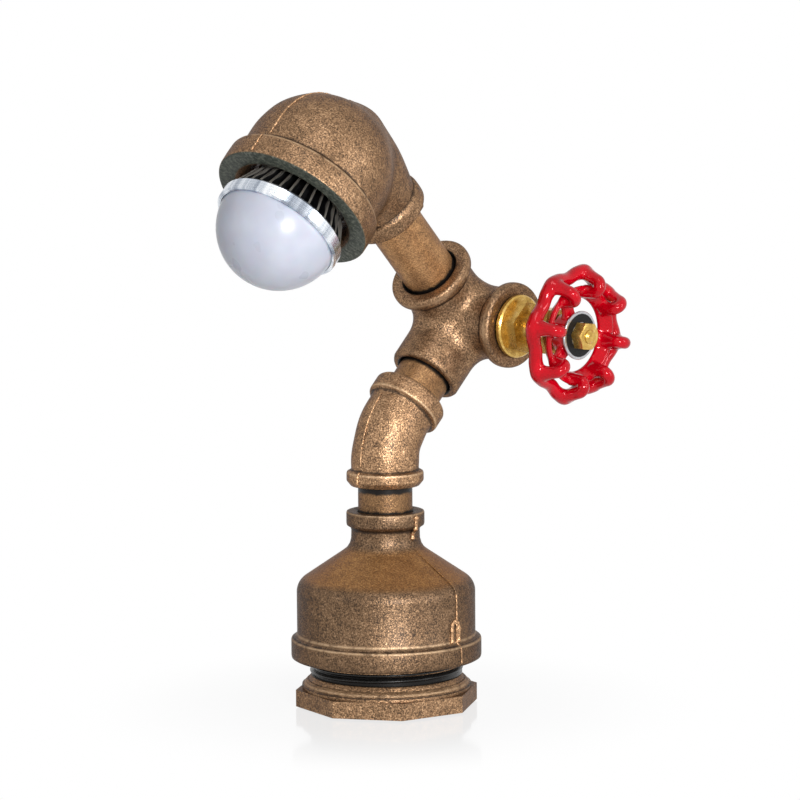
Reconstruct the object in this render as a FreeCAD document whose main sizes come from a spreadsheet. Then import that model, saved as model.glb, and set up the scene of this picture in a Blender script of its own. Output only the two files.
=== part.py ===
import FreeCAD, Part

import math
import os

import Sketcher

# A table lamp put together from threaded half-inch pipe fittings. Millimetres, +Z up.
# The origin is the middle of the face that the lamp rests on. The arm leans back towards +Y,
# the lamp head looks forward and down towards -Y, and the handwheel is on the +X side.

Vector = FreeCAD.Vector
Rotation = FreeCAD.Rotation
Placement = FreeCAD.Placement

doc = FreeCAD.newDocument("PipeLamp")

# ---------------------------------------------------------------- driving dimensions

SIZES = (
    ("pipe_od", 21.3, "outside diameter of half-inch pipe"),
    ("pipe_bore", 15.8, "inside diameter of half-inch pipe"),
    ("screw_depth", 13.0, "how far a pipe end screws into a fitting"),
    ("thread_play", 0.05, "radial play between a male and a female half-inch thread"),
    ("waterway", 17.4, "bore of the small fittings behind their threads"),
    ("edge_round", 1.2, "rounding of the cast edges"),
    ("foot_diameter", 56.0, "rubber foot disc"),
    ("foot_thickness", 1.6, "rubber foot disc"),
    ("foot_proud", 0.4, "how far the foot stands below the casting"),
    ("octagon_flats", 66.7, "octagon head of the bushing, across flats"),
    ("octagon_height", 6.6, "octagon head, side faces"),
    ("flare_height", 3.6, "round flare above the octagon"),
    ("flare_foot", 66.0, "diameter of the flare where it meets the octagon"),
    ("flare_top", 62.2, "diameter of the flare where the thread starts"),
    ("octagon_turn", -12.2, "how far the octagon is screwed round, in degrees"),
    ("big_thread", 59.4, "two-inch male thread"),
    ("big_thread_root", 57.4, "two-inch thread, across the roots"),
    ("big_thread_length", 22.0, "length of the two-inch thread"),
    ("bushing_wall", 5.0, "wall of the bushing cup"),
    ("bushing_floor", 5.0, "floor of the bushing cup"),
    ("bushing_hole", 18.8, "half-inch hole in the bushing floor"),
    ("socket_seat", 15.2, "height of the reducing socket's lower end"),
    ("socket_height", 61.8, "reducing socket, end to end"),
    ("big_band", 74.7, "band at the big end of the reducing socket"),
    ("big_band_height", 11.8, "band at the big end"),
    ("socket_body", 70.0, "body of the reducing socket"),
    ("shoulder_rise", 33.7, "start of the cone above the lower end"),
    ("neck_length", 6.5, "plain neck between the cone and its band"),
    ("neck_body", 26.8, "neck of the reducing socket"),
    ("neck_band", 30.6, "band at the neck"),
    ("neck_band_height", 5.2, "band at the neck"),
    ("shoulder_round", 6.0, "rounding of the shoulder"),
    ("neck_round", 5.0, "hollow at the foot of the neck"),
    ("casting_wall", 4.2, "wall of the large castings"),
    ("inlet_clearance", 2.2, "cable inlet's grommet below the shoulder of the socket"),
    ("inlet_hole", 9.0, "hole drilled for the cable grommet"),
    ("grommet_bore", 6.6, "bore of the grommet"),
    ("grommet_flange", 12.4, "flange of the grommet"),
    ("grommet_lip", 1.8, "thickness of each grommet flange"),
    ("lower_gap", 8.5, "lower nipple, bare length between its two fittings"),
    ("elbow_angle", 45.0, "turn of the elbow"),
    ("elbow_reach", 20.8, "elbow centre to end"),
    ("elbow_band", 30.2, "bands of the elbow"),
    ("elbow_band_width", 7.0, "bands of the elbow"),
    ("elbow_body", 26.4, "body of the elbow"),
    ("elbow_bend", 27.0, "bend radius of the elbow"),
    ("middle_gap", 9.8, "middle nipple, bare length between its two fittings"),
    ("corner_turn", 3.6, "how far the corner is screwed round, in degrees"),
    ("corner_body", 28.8, "ports of the corner fitting"),
    ("corner_plain_reach", 30.2, "corner centre to the lower port's end"),
    ("corner_bead_reach", 28.4, "corner centre to the beaded ports' ends"),
    ("corner_bead", 33.8, "rounded bead of a port"),
    ("corner_bead_width", 5.6, "rounded bead of a port"),
    ("corner_web", 6.0, "hollow between two ports"),
    ("port_mouth", 23.4, "countersink at a port's mouth"),
    ("pipe_gap", 34.4, "upper pipe, bare length between its two fittings"),
    ("head_turn", 2.2, "how far the head is screwed round, in degrees"),
    ("head_reach", 34.6, "head centre to the mouth"),
    ("head_band", 63.2, "band at the mouth"),
    ("head_band_width", 9.2, "band at the mouth"),
    ("head_body", 57.6, "body of the head elbow"),
    ("head_shoulder", 14.9, "start of the round crown in front of the head centre"),
    ("head_mouth", 49.6, "countersink at the mouth"),
    ("head_thread", 44.8, "bore of the mouth's thread"),
    ("head_thread_depth", 14.6, "depth of the mouth's thread"),
    ("head_lip", 41.6, "stop lip behind the mouth's thread"),
    ("head_lip_width", 3.0, "stop lip"),
    ("branch_reach", 42.3, "head centre to the small end"),
    ("branch_root", 36.9, "ball in the body that the small branch leaves"),
    ("branch_swell", 4.7, "head centre to the middle of that ball"),
    ("branch_web", 5.0, "hollow where the branch leaves the body"),
    ("branch_tip", 30.0, "small branch behind its band"),
    ("branch_band", 32.4, "band at the small end"),
    ("branch_band_width", 6.0, "band at the small end"),
    ("bonnet_flange", 24.8, "round shoulder of the brass bonnet"),
    ("bonnet_flange_face", 31.2, "corner centre to the bonnet's shoulder"),
    ("bonnet_hexagon", 19.0, "bonnet hexagon, across flats"),
    ("bonnet_hexagon_width", 5.4, "bonnet hexagon"),
    ("bonnet_neck", 14.0, "bonnet neck"),
    ("bonnet_neck_end", 42.0, "corner centre to the end of the bonnet's neck"),
    ("bonnet_chamber", 14.0, "chamber in the bonnet"),
    ("bonnet_tail", 9.3, "corner centre to the bonnet's inner end"),
    ("bonnet_web", 2.0, "web that carries the switch"),
    ("packing_hexagon", 17.0, "packing nut, across flats"),
    ("packing_width", 7.6, "packing nut"),
    ("gland_bore", 10.8, "bore that holds the packing"),
    ("packing_ring_width", 3.6, "packing ring"),
    ("stem_diameter", 8.0, "valve stem"),
    ("stem_square", 5.6, "square end of the stem"),
    ("shaft_play", 0.05, "radial play of turning shafts"),
    ("stem_thread", 5.4, "threaded tip of the stem"),
    ("switch_diameter", 16.0, "rotary switch body"),
    ("switch_length", 13.0, "rotary switch body"),
    ("switch_bush", 7.0, "threaded bush of the switch"),
    ("switch_nut_flats", 11.0, "nut on the bush"),
    ("switch_nut_width", 2.4, "nut on the bush"),
    ("spindle_diameter", 4.0, "switch spindle"),
    ("coupler_diameter", 11.0, "brass sleeve that joins spindle and stem"),
    ("coupler_length", 10.0, "brass sleeve"),
    ("disc_distance", 61.9, "corner centre to the face of the name disc"),
    ("disc_diameter", 19.0, "name disc"),
    ("disc_thickness", 0.8, "name disc"),
    ("wheel_nut_flats", 10.0, "nut that holds the wheel"),
    ("wheel_nut_width", 4.6, "nut that holds the wheel"),
    ("hub_diameter", 16.0, "hub of the handwheel"),
    ("hub_length", 8.0, "hub of the handwheel"),
    ("rim_flats", 46.2, "handwheel rim, across the middles of its sides"),
    ("rim_corner", 6.0, "bend of the rim at a knuckle"),
    ("rim_section", 5.6, "round section of the rim"),
    ("rim_setback", 3.8, "rim behind the disc face"),
    ("lobe_count", 8, "knuckles of the handwheel"),
    ("wheel_turned", -11.3, "how far the wheel stands turned at rest, in degrees"),
    ("knuckle_circle", 39.2, "circle that carries the heads of the knuckles"),
    ("knuckle_rise", 3.1, "middle of a knuckle's head in front of the disc face"),
    ("knuckle_radius", 2.5, "bend of a knuckle's head"),
    ("knuckle_lean", 18.5, "slope of a knuckle's outer leg, in degrees"),
    ("knuckle_section", 4.6, "round section of a knuckle"),
    ("web_inner", 31.0, "inner ring of the wheel, small diameter"),
    ("web_outer", 37.4, "inner ring of the wheel, large diameter"),
    ("web_depth", 4.0, "back of the inner ring behind the disc face"),
    ("web_rise", 0.5, "front of the inner ring before the disc face"),
    ("web_wall", 2.6, "wall of the inner ring"),
    ("spoke_count", 3, "spokes of the handwheel"),
    ("spoke_width", 5.6, "spoke"),
    ("spoke_thickness", 3.4, "spoke"),
    ("spoke_setback", 2.0, "back of a spoke behind the back of the inner ring"),
    ("spoke_turn", 45.0, "first spoke from the upright of the wheel, in degrees"),
    ("cap_diameter", 26.2, "screw cap of the bulb"),
    ("cap_wall", 0.4, "sheet of the screw cap"),
    ("cap_front", 27.0, "head centre to the front of the cap"),
    ("cap_length", 21.0, "screw cap shell"),
    ("contact_diameter", 9.0, "centre contact"),
    ("contact_height", 1.6, "centre contact"),
    ("insulator_height", 3.4, "insulator of the cap"),
    ("sink_front", 41.0, "head centre to the front of the heat sink"),
    ("sink_core", 34.0, "core of the heat sink"),
    ("sink_front_diameter", 48.6, "fins at the trim ring"),
    ("sink_mouth_diameter", 42.4, "fins inside the mouth"),
    ("sink_wall", 2.2, "wall of the heat sink"),
    ("fin_count", 36, "fins of the heat sink"),
    ("fin_thickness", 0.8, "one fin"),
    ("trim_diameter", 50.6, "trim ring of the bulb"),
    ("trim_width", 5.7, "trim ring"),
    ("trim_bore", 20.0, "hole in the trim ring's floor"),
    ("dome_radius", 23.7, "outside of the diffuser"),
    ("dome_wall", 1.4, "wall of the diffuser"),
    ("dome_centre", 44.3, "head centre to the diffuser's centre"),
    ("board_thickness", 1.6, "light board"),
    ("holder_diameter", 35.0, "ceramic lampholder"),
    ("holder_flange", 44.4, "flange of the lampholder"),
    ("holder_flange_width", 2.4, "flange of the lampholder"),
    ("holder_back", 3.0, "back of the holder behind the head centre"),
    ("holder_floor", 4.0, "floor of the holder"),
    ("sleeve_play", 0.35, "radial play of the bulb's cap in the threaded sleeve"),
    ("sleeve_wall", 0.6, "sheet of the threaded sleeve"),
    ("retainer_width", 3.2, "ring that is screwed in front of the holder"),
    ("retainer_bore", 36.6, "ring that is screwed in front of the holder"),
    ("lead_diameter", 4.8, "two-core lead inside the pipes"),
    ("lead_bend", 9.0, "bend radius of the lead"),
    ("joint_gap", 0.3, "gap between parts of the lead on the two sides of a turning thread"),
    ("terminal_width", 14.0, "terminal block"),
    ("terminal_depth", 9.0, "terminal block"),
    ("terminal_height", 9.0, "terminal block"),
    ("terminal_offset", 16.0, "terminal block behind the bushing's hole"),
    ("terminal_screw", 3.0, "screws of the terminal block"),
)

sheet = doc.addObject("Spreadsheet::Sheet", "Sizes")
for row, (alias, value, note) in enumerate(SIZES, 1):
    sheet.set(f"A{row}", alias)
    sheet.set(f"B{row}", str(value))
    sheet.set(f"C{row}", note)
    sheet.setAlias(f"B{row}", alias)
doc.recompute()


class Size:
    """A length or angle that knows its spreadsheet expression and its present value."""

    def __init__(self, text, value):
        self.text = text
        self.value = value

    @staticmethod
    def of(item):
        return item if isinstance(item, Size) else Size(repr(float(item)), float(item))

    def join(self, other, sign, value):
        return Size(f"({self.text} {sign} {other.text})", value)

    def __add__(self, other):
        other = Size.of(other)
        return self.join(other, "+", self.value + other.value)

    def __sub__(self, other):
        other = Size.of(other)
        return self.join(other, "-", self.value - other.value)

    def __mul__(self, other):
        other = Size.of(other)
        return self.join(other, "*", self.value * other.value)

    def __truediv__(self, other):
        other = Size.of(other)
        return self.join(other, "/", self.value / other.value)

    def __radd__(self, other):
        return Size.of(other) + self

    def __rsub__(self, other):
        return Size.of(other) - self

    def __rmul__(self, other):
        return Size.of(other) * self

    def __neg__(self):
        return Size(f"(0 - {self.text})", -self.value)


class Sheet:
    """Gives each spreadsheet alias as a Size: S.pipe_od is Sizes.pipe_od."""

    def __getattr__(self, alias):
        return Size(f"Sizes.{alias}", float(sheet.get(alias)))


S = Sheet()


def sine(angle):
    return Size(f"sin(1deg * {angle.text})", math.sin(math.radians(angle.value)))


def cosine(angle):
    return Size(f"cos(1deg * {angle.text})", math.cos(math.radians(angle.value)))


def tangent(angle):
    return Size(f"tan(1deg * {angle.text})", math.tan(math.radians(angle.value)))


def arc_radius(run, rise):
    """Radius of an arc that leaves square to run and ends run across and rise along."""
    return (run * run + rise * rise) / (2 * run)


def bind(item, name, size):
    """Sets one property of a document object by its spreadsheet expression."""
    item.setExpression(name, Size.of(size).text)


# ---------------------------------------------------------------- sketches and features

PARTS = []


def piece(node, placement, kind="PartDesign::Body"):
    """Adds the document object of one sub-part and puts it in its place."""
    item = doc.addObject(kind, node)
    item.Label = node
    item.Placement = placement
    PARTS.append(item)
    return item


def sketch_on(body, role, offset=None, turn=None, swing=None):
    """A sketch on one of the body's own origin planes, moved along and turned about its normal,
    or swung about its upright axis."""
    plane = next(f for f in body.Origin.OriginFeatures if f.Role == role)
    sketch = body.newObject("Sketcher::SketchObject", "Sketch")
    sketch.AttachmentSupport = (plane, [""])
    sketch.MapMode = "FlatFace"
    if turn is not None:
        sketch.AttachmentOffset = Placement(Vector(), Rotation(Vector(0, 0, 1), turn.value))
        bind(sketch, "AttachmentOffset.Rotation.Angle", turn)
    if swing is not None:
        sketch.AttachmentOffset = Placement(Vector(), Rotation(Vector(0, 1, 0), swing.value))
        bind(sketch, "AttachmentOffset.Rotation.Angle", swing)
    if offset is not None:
        bind(sketch, "AttachmentOffset.Base.z", offset)
    return sketch


def pin_point(sketch, edge, end, x, y):
    """Ties one end of an edge to the sketch origin by two bound distances."""
    for kind, size in (("DistanceX", Size.of(x)), ("DistanceY", Size.of(y))):
        if size.text == "0.0":
            axis = -2 if kind == "DistanceX" else -1
            sketch.addConstraint(Sketcher.Constraint("PointOnObject", edge, end, axis))
            continue
        number = sketch.addConstraint(Sketcher.Constraint(kind, -1, 1, edge, end, size.value))
        sketch.setExpression(f"Constraints[{number}]", size.text)


def draw_outline(sketch, corners, closed=True):
    """Outline, closed or open. A corner is (x, y), or (x, y, radius) where an arc leads to the next one:
    a positive radius turns left on the way, a negative one right."""
    ends = []
    count = len(corners)
    places = [Vector(Size.of(c[0]).value, Size.of(c[1]).value, 0) for c in corners]
    edges = count if closed else count - 1
    for index, corner in enumerate(corners[:edges]):
        here = places[index]
        there = places[(index + 1) % count]
        if len(corner) == 2:
            sketch.addGeometry(Part.LineSegment(here, there))
            ends.append((1, 2))
            continue
        radius = Size.of(corner[2])
        chord = there - here
        lift = math.sqrt(max(radius.value ** 2 - chord.Length ** 2 / 4, 0.0))
        side = math.copysign(lift / chord.Length, radius.value)
        centre = (here + there) / 2 + Vector(-chord.y, chord.x, 0) * side
        circle = Part.Circle(centre, Vector(0, 0, 1), abs(radius.value))
        start = math.atan2(here.y - centre.y, here.x - centre.x)
        finish = math.atan2(there.y - centre.y, there.x - centre.x)
        if radius.value > 0:
            sketch.addGeometry(Part.ArcOfCircle(circle, start, finish))
            ends.append((1, 2))
        else:
            sketch.addGeometry(Part.ArcOfCircle(circle, finish, start))
            ends.append((2, 1))
    for index in range(edges if closed else edges - 1):
        after = (index + 1) % count
        joint = Sketcher.Constraint("Coincident", index, ends[index][1], after, ends[after][0])
        sketch.addConstraint(joint)
    for index, corner in enumerate(corners[:edges]):
        pin_point(sketch, index, ends[index][0], corner[0], corner[1])
    if not closed:
        pin_point(sketch, edges - 1, ends[-1][1], corners[-1][0], corners[-1][1])
    for index, corner in enumerate(corners):
        if len(corner) == 3:
            radius = Size.of(corner[2])
            bent = Sketcher.Constraint("Radius", index, abs(radius.value))
            number = sketch.addConstraint(bent)
            sign = "" if radius.value > 0 else "-1 * "
            sketch.setExpression(f"Constraints[{number}]", sign + radius.text)


def draw_circle(sketch, x, y, radius):
    centre = Vector(Size.of(x).value, Size.of(y).value, 0)
    edge = sketch.addGeometry(Part.Circle(centre, Vector(0, 0, 1), radius.value))
    number = sketch.addConstraint(Sketcher.Constraint("Radius", edge, radius.value))
    sketch.setExpression(f"Constraints[{number}]", radius.text)
    pin_point(sketch, edge, 3, x, y)


def regular(count, across_flats, first_angle):
    """Corners of a regular polygon given across its flats."""
    corner = across_flats / (2 * math.cos(math.pi / count))
    angles = [math.radians(first_angle + 360.0 * k / count) for k in range(count)]
    return [(corner * math.cos(a), corner * math.sin(a)) for a in angles]


def revolve(body, corners, role="XZ_Plane", axis="V_Axis", cut=False, turn=None):
    """Turns a closed outline once round an axis of its sketch, as metal or as a cut."""
    sketch = sketch_on(body, role, turn=turn)
    draw_outline(sketch, corners)
    kind = "PartDesign::Groove" if cut else "PartDesign::Revolution"
    feature = body.newObject(kind, "Turned")
    feature.Profile = sketch
    feature.ReferenceAxis = (sketch, [axis])
    feature.Angle = 360
    return feature


def extrude(body, sketch, length, cut=False, middle=False, reverse=False):
    feature = body.newObject("PartDesign::Pocket" if cut else "PartDesign::Pad", "Extruded")
    feature.Profile = sketch
    bind(feature, "Length", length)
    feature.Midplane = middle
    feature.Reversed = reverse
    return feature


def round_edges(body, feature, rings, radius):
    """Fillets the circular edges whose radius and height are given."""
    doc.recompute()
    names = []
    for number, edge in enumerate(feature.Shape.Edges, 1):
        curve = edge.Curve
        if not isinstance(curve, Part.Circle):
            continue
        for ring, height in rings:
            same_radius = abs(curve.Radius - Size.of(ring).value) < 0.01
            same_height = abs(curve.Center.z - Size.of(height).value) < 0.01
            if same_radius and same_height:
                names.append(f"Edge{number}")
    fillet = body.newObject("PartDesign::Fillet", "Rounded")
    fillet.Base = (feature, names)
    bind(fillet, "Radius", radius)
    return fillet


def turned_piece(node, placement, corners):
    """A piece made in one turning about its own Z axis."""
    body = piece(node, placement)
    revolve(body, corners)
    return body


def tube_outline(outer, inner, low, high):
    return [(inner, low), (outer, low), (outer, high), (inner, high)]


def rod_outline(radius, low, high, bevel):
    """Half section of a round bar with bevelled ends."""
    return [(0.0, low), (radius - bevel, low), (radius, low + bevel), (radius, high - bevel),
            (radius - bevel, high), (0.0, high)]


def pipe_outline(outer, inner, low, high, bevel):
    """Half section of a pipe whose outside edges are bevelled."""
    return [(inner, low), (outer - bevel, low), (outer, low + bevel),
            (outer, high - bevel), (outer - bevel, high), (inner, high)]


# ---------------------------------------------------------------- frames of the assembly

def move(x=0.0, y=0.0, z=0.0):
    values = [Size.of(v).value for v in (x, y, z)]
    return Placement(Vector(*values), Rotation())


def turn_about(axis, angle):
    return Placement(Vector(), Rotation(Vector(*axis), Size.of(angle).value))


BASE = Placement()
elbow_height = S.socket_seat + S.socket_height + S.lower_gap + S.elbow_reach
corner_distance = S.elbow_reach + S.middle_gap + S.corner_plain_reach
head_distance = S.corner_bead_reach + S.pipe_gap + S.branch_reach

ELBOW = move(z=elbow_height)
TILTED = ELBOW * turn_about((1, 0, 0), -S.elbow_angle)
CORNER = TILTED * move(z=corner_distance) * turn_about((0, 0, 1), S.corner_turn)
PORT = CORNER * turn_about((0, 1, 0), 90)
UPPER = CORNER * turn_about((1, 0, 0), 90)
WHEEL = PORT * turn_about((0, 0, 1), S.wheel_turned)
HEAD = CORNER * move(y=-head_distance) * turn_about((0, -1, 0), S.head_turn)
MOUTH = HEAD * turn_about((1, 0, 0), 180)

pipe_radius = S.pipe_od / 2
socket_bore = pipe_radius + S.thread_play
bevel = 0.8

# ---------------------------------------------------------------- base

octagon_bottom = S.foot_proud
octagon_top = octagon_bottom + S.octagon_height
flare_top_height = octagon_top + S.flare_height
thread_end = flare_top_height + S.big_thread_length
cup_floor = octagon_bottom + S.foot_thickness + S.bushing_floor
cup_radius = S.big_thread / 2 - S.bushing_wall


def build_bushing():
    body = piece("octagon_bushing", BASE * turn_about((0, 0, 1), S.octagon_turn))
    sketch = sketch_on(body, "XY_Plane", offset=octagon_bottom)
    draw_outline(sketch, regular(8, S.octagon_flats, 22.5))
    extrude(body, sketch, S.octagon_height)
    root = S.big_thread_root / 2
    crest = S.big_thread / 2
    revolve(body, [
        (0.0, octagon_top - 1), (S.flare_foot / 2, octagon_top - 1),
        (S.flare_foot / 2, octagon_top + 0.8, 6.0), (S.flare_top / 2, flare_top_height),
        (root, flare_top_height), (root, S.socket_seat + 0.4),
        (crest, S.socket_seat + 1.4), (crest, thread_end - 1),
        (root, thread_end), (0.0, thread_end)])
    revolve(body, [
        (0.0, octagon_bottom - 1), (S.foot_diameter / 2 + 0.2, octagon_bottom - 1),
        (S.foot_diameter / 2 + 0.2, S.foot_thickness), (S.bushing_hole / 2, S.foot_thickness),
        (S.bushing_hole / 2, cup_floor), (cup_radius, cup_floor),
        (cup_radius, thread_end + 1), (0.0, thread_end + 1)], cut=True)


def build_foot():
    turned_piece("foot_pad", BASE, [
        (0.0, 0.0), (S.foot_diameter / 2 - 0.4, 0.0), (S.foot_diameter / 2, 0.4),
        (S.foot_diameter / 2, S.foot_thickness), (0.0, S.foot_thickness)])


inlet_height = S.socket_seat + S.shoulder_rise - S.inlet_clearance - S.grommet_flange / 2


def build_socket():
    low = S.socket_seat
    high = low + S.socket_height
    band = S.big_band / 2
    shell = S.socket_body / 2
    neck = S.neck_body / 2
    neck_band = S.neck_band / 2
    broken = S.edge_round / 2
    band_top = low + S.big_band_height
    shoulder = low + S.shoulder_rise
    neck_top = high - S.neck_band_height - 1.6
    neck_foot = neck_top - S.neck_length
    body = piece("reducing_socket", BASE)
    outside = revolve(body, [
        (0.0, low), (band - 2, low), (band, low + 2), (band, band_top - broken),
        (band - broken, band_top), (shell, band_top + 1.4), (shell, shoulder),
        (neck, neck_foot), (neck, neck_top), (neck_band, high - S.neck_band_height),
        (neck_band, high - broken), (neck_band - broken, high), (0.0, high)])
    shoulders = round_edges(body, outside, [(shell, shoulder)], S.shoulder_round)
    round_edges(body, shoulders, [(neck, neck_foot)], S.neck_round)
    bore = S.big_thread / 2 + S.thread_play
    inner = shell - S.casting_wall
    socket_end = high - S.screw_depth
    revolve(body, [
        (0.0, low - 1), (bore + 1, low - 1), (bore + 1, low), (bore, low + 1),
        (bore, thread_end + 2), (inner, thread_end + 3), (inner, shoulder - 1),
        (S.waterway / 2, neck_foot - 2), (S.waterway / 2, socket_end),
        (socket_bore, socket_end), (socket_bore, high + 1), (0.0, high + 1)], cut=True)
    hole = sketch_on(body, "XZ_Plane")
    draw_circle(hole, 0.0, inlet_height, S.inlet_hole / 2)
    extrude(body, hole, S.big_band / 2, cut=True)


def build_grommet():
    place = move(z=inlet_height) * turn_about((1, 0, 0), -90)
    outer_face = S.socket_body / 2
    inner_face = outer_face - S.casting_wall
    flange = S.grommet_flange / 2
    barrel = S.inlet_hole / 2 - S.thread_play
    bore = S.grommet_bore / 2
    turned_piece("cable_grommet", place, [
        (bore, inner_face - S.grommet_lip - 1), (flange - 0.8, inner_face - S.grommet_lip - 1),
        (flange, inner_face - 1), (barrel, inner_face - 1), (barrel, outer_face + 0.1),
        (flange, outer_face + 0.1), (flange - 0.8, outer_face + 0.1 + S.grommet_lip),
        (bore, outer_face + 0.1 + S.grommet_lip)])


nipple_end = elbow_height - S.elbow_reach + S.screw_depth
socket_top = S.socket_seat + S.socket_height


def build_lower_nipple():
    turned_piece("lower_nipple", BASE, pipe_outline(
        pipe_radius, S.pipe_bore / 2, socket_top - S.screw_depth, nipple_end, bevel))


def build_terminals():
    block = piece("terminal_block", BASE * move(y=S.terminal_offset, z=cup_floor))
    sketch = sketch_on(block, "XY_Plane")
    half = S.terminal_width / 2
    deep = S.terminal_depth / 2
    draw_outline(sketch, [(-half, -deep), (half, -deep), (half, deep), (-half, deep)])
    extrude(block, sketch, S.terminal_height)
    wells = sketch_on(block, "XY_Plane", offset=S.terminal_height)
    for side in (-1, 1):
        draw_circle(wells, side * S.terminal_width / 4, 0.0, S.terminal_screw / 2 + 0.1)
    extrude(block, wells, S.terminal_height / 2, cut=True)
    screws = piece("terminal_screws", block.Placement)
    screws.AllowCompound = True
    heads = sketch_on(screws, "XY_Plane", offset=S.terminal_height / 2)
    for side in (-1, 1):
        draw_circle(heads, side * S.terminal_width / 4, 0.0, S.terminal_screw / 2)
    extrude(screws, heads, S.terminal_height / 2 - 0.6)


# ---------------------------------------------------------------- leads inside the pipes

def lead(node, placement, points, bend):
    """A round lead along straight runs that are joined by tangent arcs, as a swept solid."""
    radius = S.lead_diameter.value / 2
    knots = [Vector(*[Size.of(v).value for v in point]) for point in points]
    edges = []
    last = knots[0]
    for before, here, after in zip(knots, knots[1:], knots[2:]):
        inward = (here - before).normalize()
        onward = (after - here).normalize()
        half_turn = inward.getAngle(onward) / 2
        setback = bend.value * math.tan(half_turn)
        start = here - inward * setback
        finish = here + onward * setback
        sagitta = bend.value / math.cos(half_turn) - bend.value
        middle = here + (onward - inward).normalize() * sagitta
        if (start - last).Length > 0.01:
            edges.append(Part.LineSegment(last, start).toShape())
        edges.append(Part.Arc(start, middle, finish).toShape())
        last = finish
    edges.append(Part.LineSegment(last, knots[-1]).toShape())
    path = Part.Wire(edges)
    section = Part.Wire(Part.Circle(knots[0], knots[1] - knots[0], radius).toShape())
    item = piece(node, placement, "Part::Feature")
    item.Shape = path.makePipeShell([section], True, True)
    item.Placement = placement
    return item


def straight_lead(node, placement, low, high):
    turned_piece(node, placement, [
        (0.0, low), (S.lead_diameter / 2, low), (S.lead_diameter / 2, high), (0.0, high)])


neck_split = elbow_height - S.elbow_reach + 4
arm_split = corner_distance - S.corner_plain_reach + 3
switch_side = S.switch_diameter / 2
head_split = head_distance - S.branch_reach + S.screw_depth


def build_leads():
    lead_height = S.holder_back + S.lead_diameter / 2 + 0.1
    terminal_top = cup_floor + S.terminal_height
    crossing = terminal_top + S.lead_bend
    lead("base_lead", BASE, [
        (0.0, S.terminal_offset, terminal_top), (0.0, S.terminal_offset, crossing),
        (0.0, 0.0, crossing + S.terminal_offset), (0.0, 0.0, neck_split)], S.lead_bend)
    lean = S.elbow_angle
    lead("neck_lead", ELBOW, [
        (0.0, 0.0, neck_split - elbow_height + S.joint_gap), (0.0, 0.0, 0.0),
        (0.0, arm_split * sine(lean), arm_split * cosine(lean))], S.elbow_bend)
    straight_lead("arm_lead", CORNER, arm_split + S.joint_gap - corner_distance, -switch_side)
    straight_lead("pipe_lead", UPPER, switch_side, head_split)
    branch_end = head_distance - head_split
    holder_side = S.holder_diameter / 2 - S.sleeve_wall * 2
    lead("head_lead", HEAD, [
        (0.0, branch_end - S.joint_gap, 0.0), (0.0, branch_end - S.lead_diameter, 0.0),
        (0.0, holder_side, lead_height), (0.0, S.lead_diameter * 0.6, lead_height)],
        S.lead_diameter)


# ---------------------------------------------------------------- elbow and middle nipple

def turn_profile(body, sketch, angle, middle=False, cut=False, reverse=False):
    """Turns a sketch about the construction line drawn in it."""
    feature = body.newObject("PartDesign::Groove" if cut else "PartDesign::Revolution", "Bend")
    feature.Profile = sketch
    feature.ReferenceAxis = (sketch, ["Axis0"])
    feature.Midplane = middle
    feature.Reversed = reverse
    bind(feature, "Angle", angle)
    return feature


def draw_axis(sketch, start, finish):
    ends = [Vector(Size.of(x).value, Size.of(y).value, 0) for x, y in (start, finish)]
    line = sketch.addGeometry(Part.LineSegment(*ends), True)
    pin_point(sketch, line, 1, *start)
    pin_point(sketch, line, 2, *finish)


def build_elbow():
    body = piece("elbow_45", ELBOW)
    reach = S.elbow_reach
    band = S.elbow_band / 2
    tube = S.elbow_body / 2
    run = S.elbow_bend * tangent(S.elbow_angle / 2)
    leg = reach - 2
    across = sine(S.elbow_angle)
    along = cosine(S.elbow_angle)
    band_foot = reach - S.elbow_band_width
    path = sketch_on(body, "YZ_Plane")
    draw_outline(path, [(0.0, -leg), (0.0, -run, -S.elbow_bend), (run * across, run * along),
                        (leg * across, leg * along)], closed=False)

    def sweep(kind, radius):
        section = sketch_on(body, "XY_Plane", offset=-leg)
        draw_circle(section, 0.0, 0.0, radius)
        feature = body.newObject(kind, "Swept")
        feature.Profile = section
        feature.Spine = (path, ["Edge1", "Edge2", "Edge3"])
        return feature

    ring = [(0.0, band_foot - 0.8), (tube, band_foot - 0.8), (band, band_foot),
            (band, reach - S.edge_round), (band - S.edge_round, reach), (0.0, reach)]
    bore = [(0.0, reach - S.screw_depth), (socket_bore, reach - S.screw_depth),
            (socket_bore, reach - 1), (socket_bore + 0.6, reach),
            (socket_bore + 0.6, reach + 1), (0.0, reach + 1)]
    sweep("PartDesign::AdditivePipe", tube)
    revolve(body, [(x, -y) for x, y in ring], role="YZ_Plane")
    revolve(body, ring, role="YZ_Plane", turn=-S.elbow_angle)
    sweep("PartDesign::SubtractivePipe", S.waterway / 2)
    revolve(body, [(x, -y) for x, y in bore], role="YZ_Plane", cut=True)
    revolve(body, bore, role="YZ_Plane", cut=True, turn=-S.elbow_angle)


def build_middle_nipple():
    turned_piece("middle_nipple", TILTED, pipe_outline(
        pipe_radius, S.pipe_bore / 2, S.elbow_reach - S.screw_depth,
        corner_distance - S.corner_plain_reach + S.screw_depth, bevel))


# ---------------------------------------------------------------- corner fitting and upper pipe

def soften(body, feature, radius):
    """Fillets the curves where the arms of a casting run into each other."""
    doc.recompute()
    names = []
    for number, edge in enumerate(feature.Shape.Edges, 1):
        if not edge.Degenerated and isinstance(edge.Curve, Part.BSplineCurve):
            names.append(f"Edge{number}")
    webs = body.newObject("PartDesign::Fillet", "Webs")
    webs.Base = (feature, names)
    bind(webs, "Radius", radius)
    return webs


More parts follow.
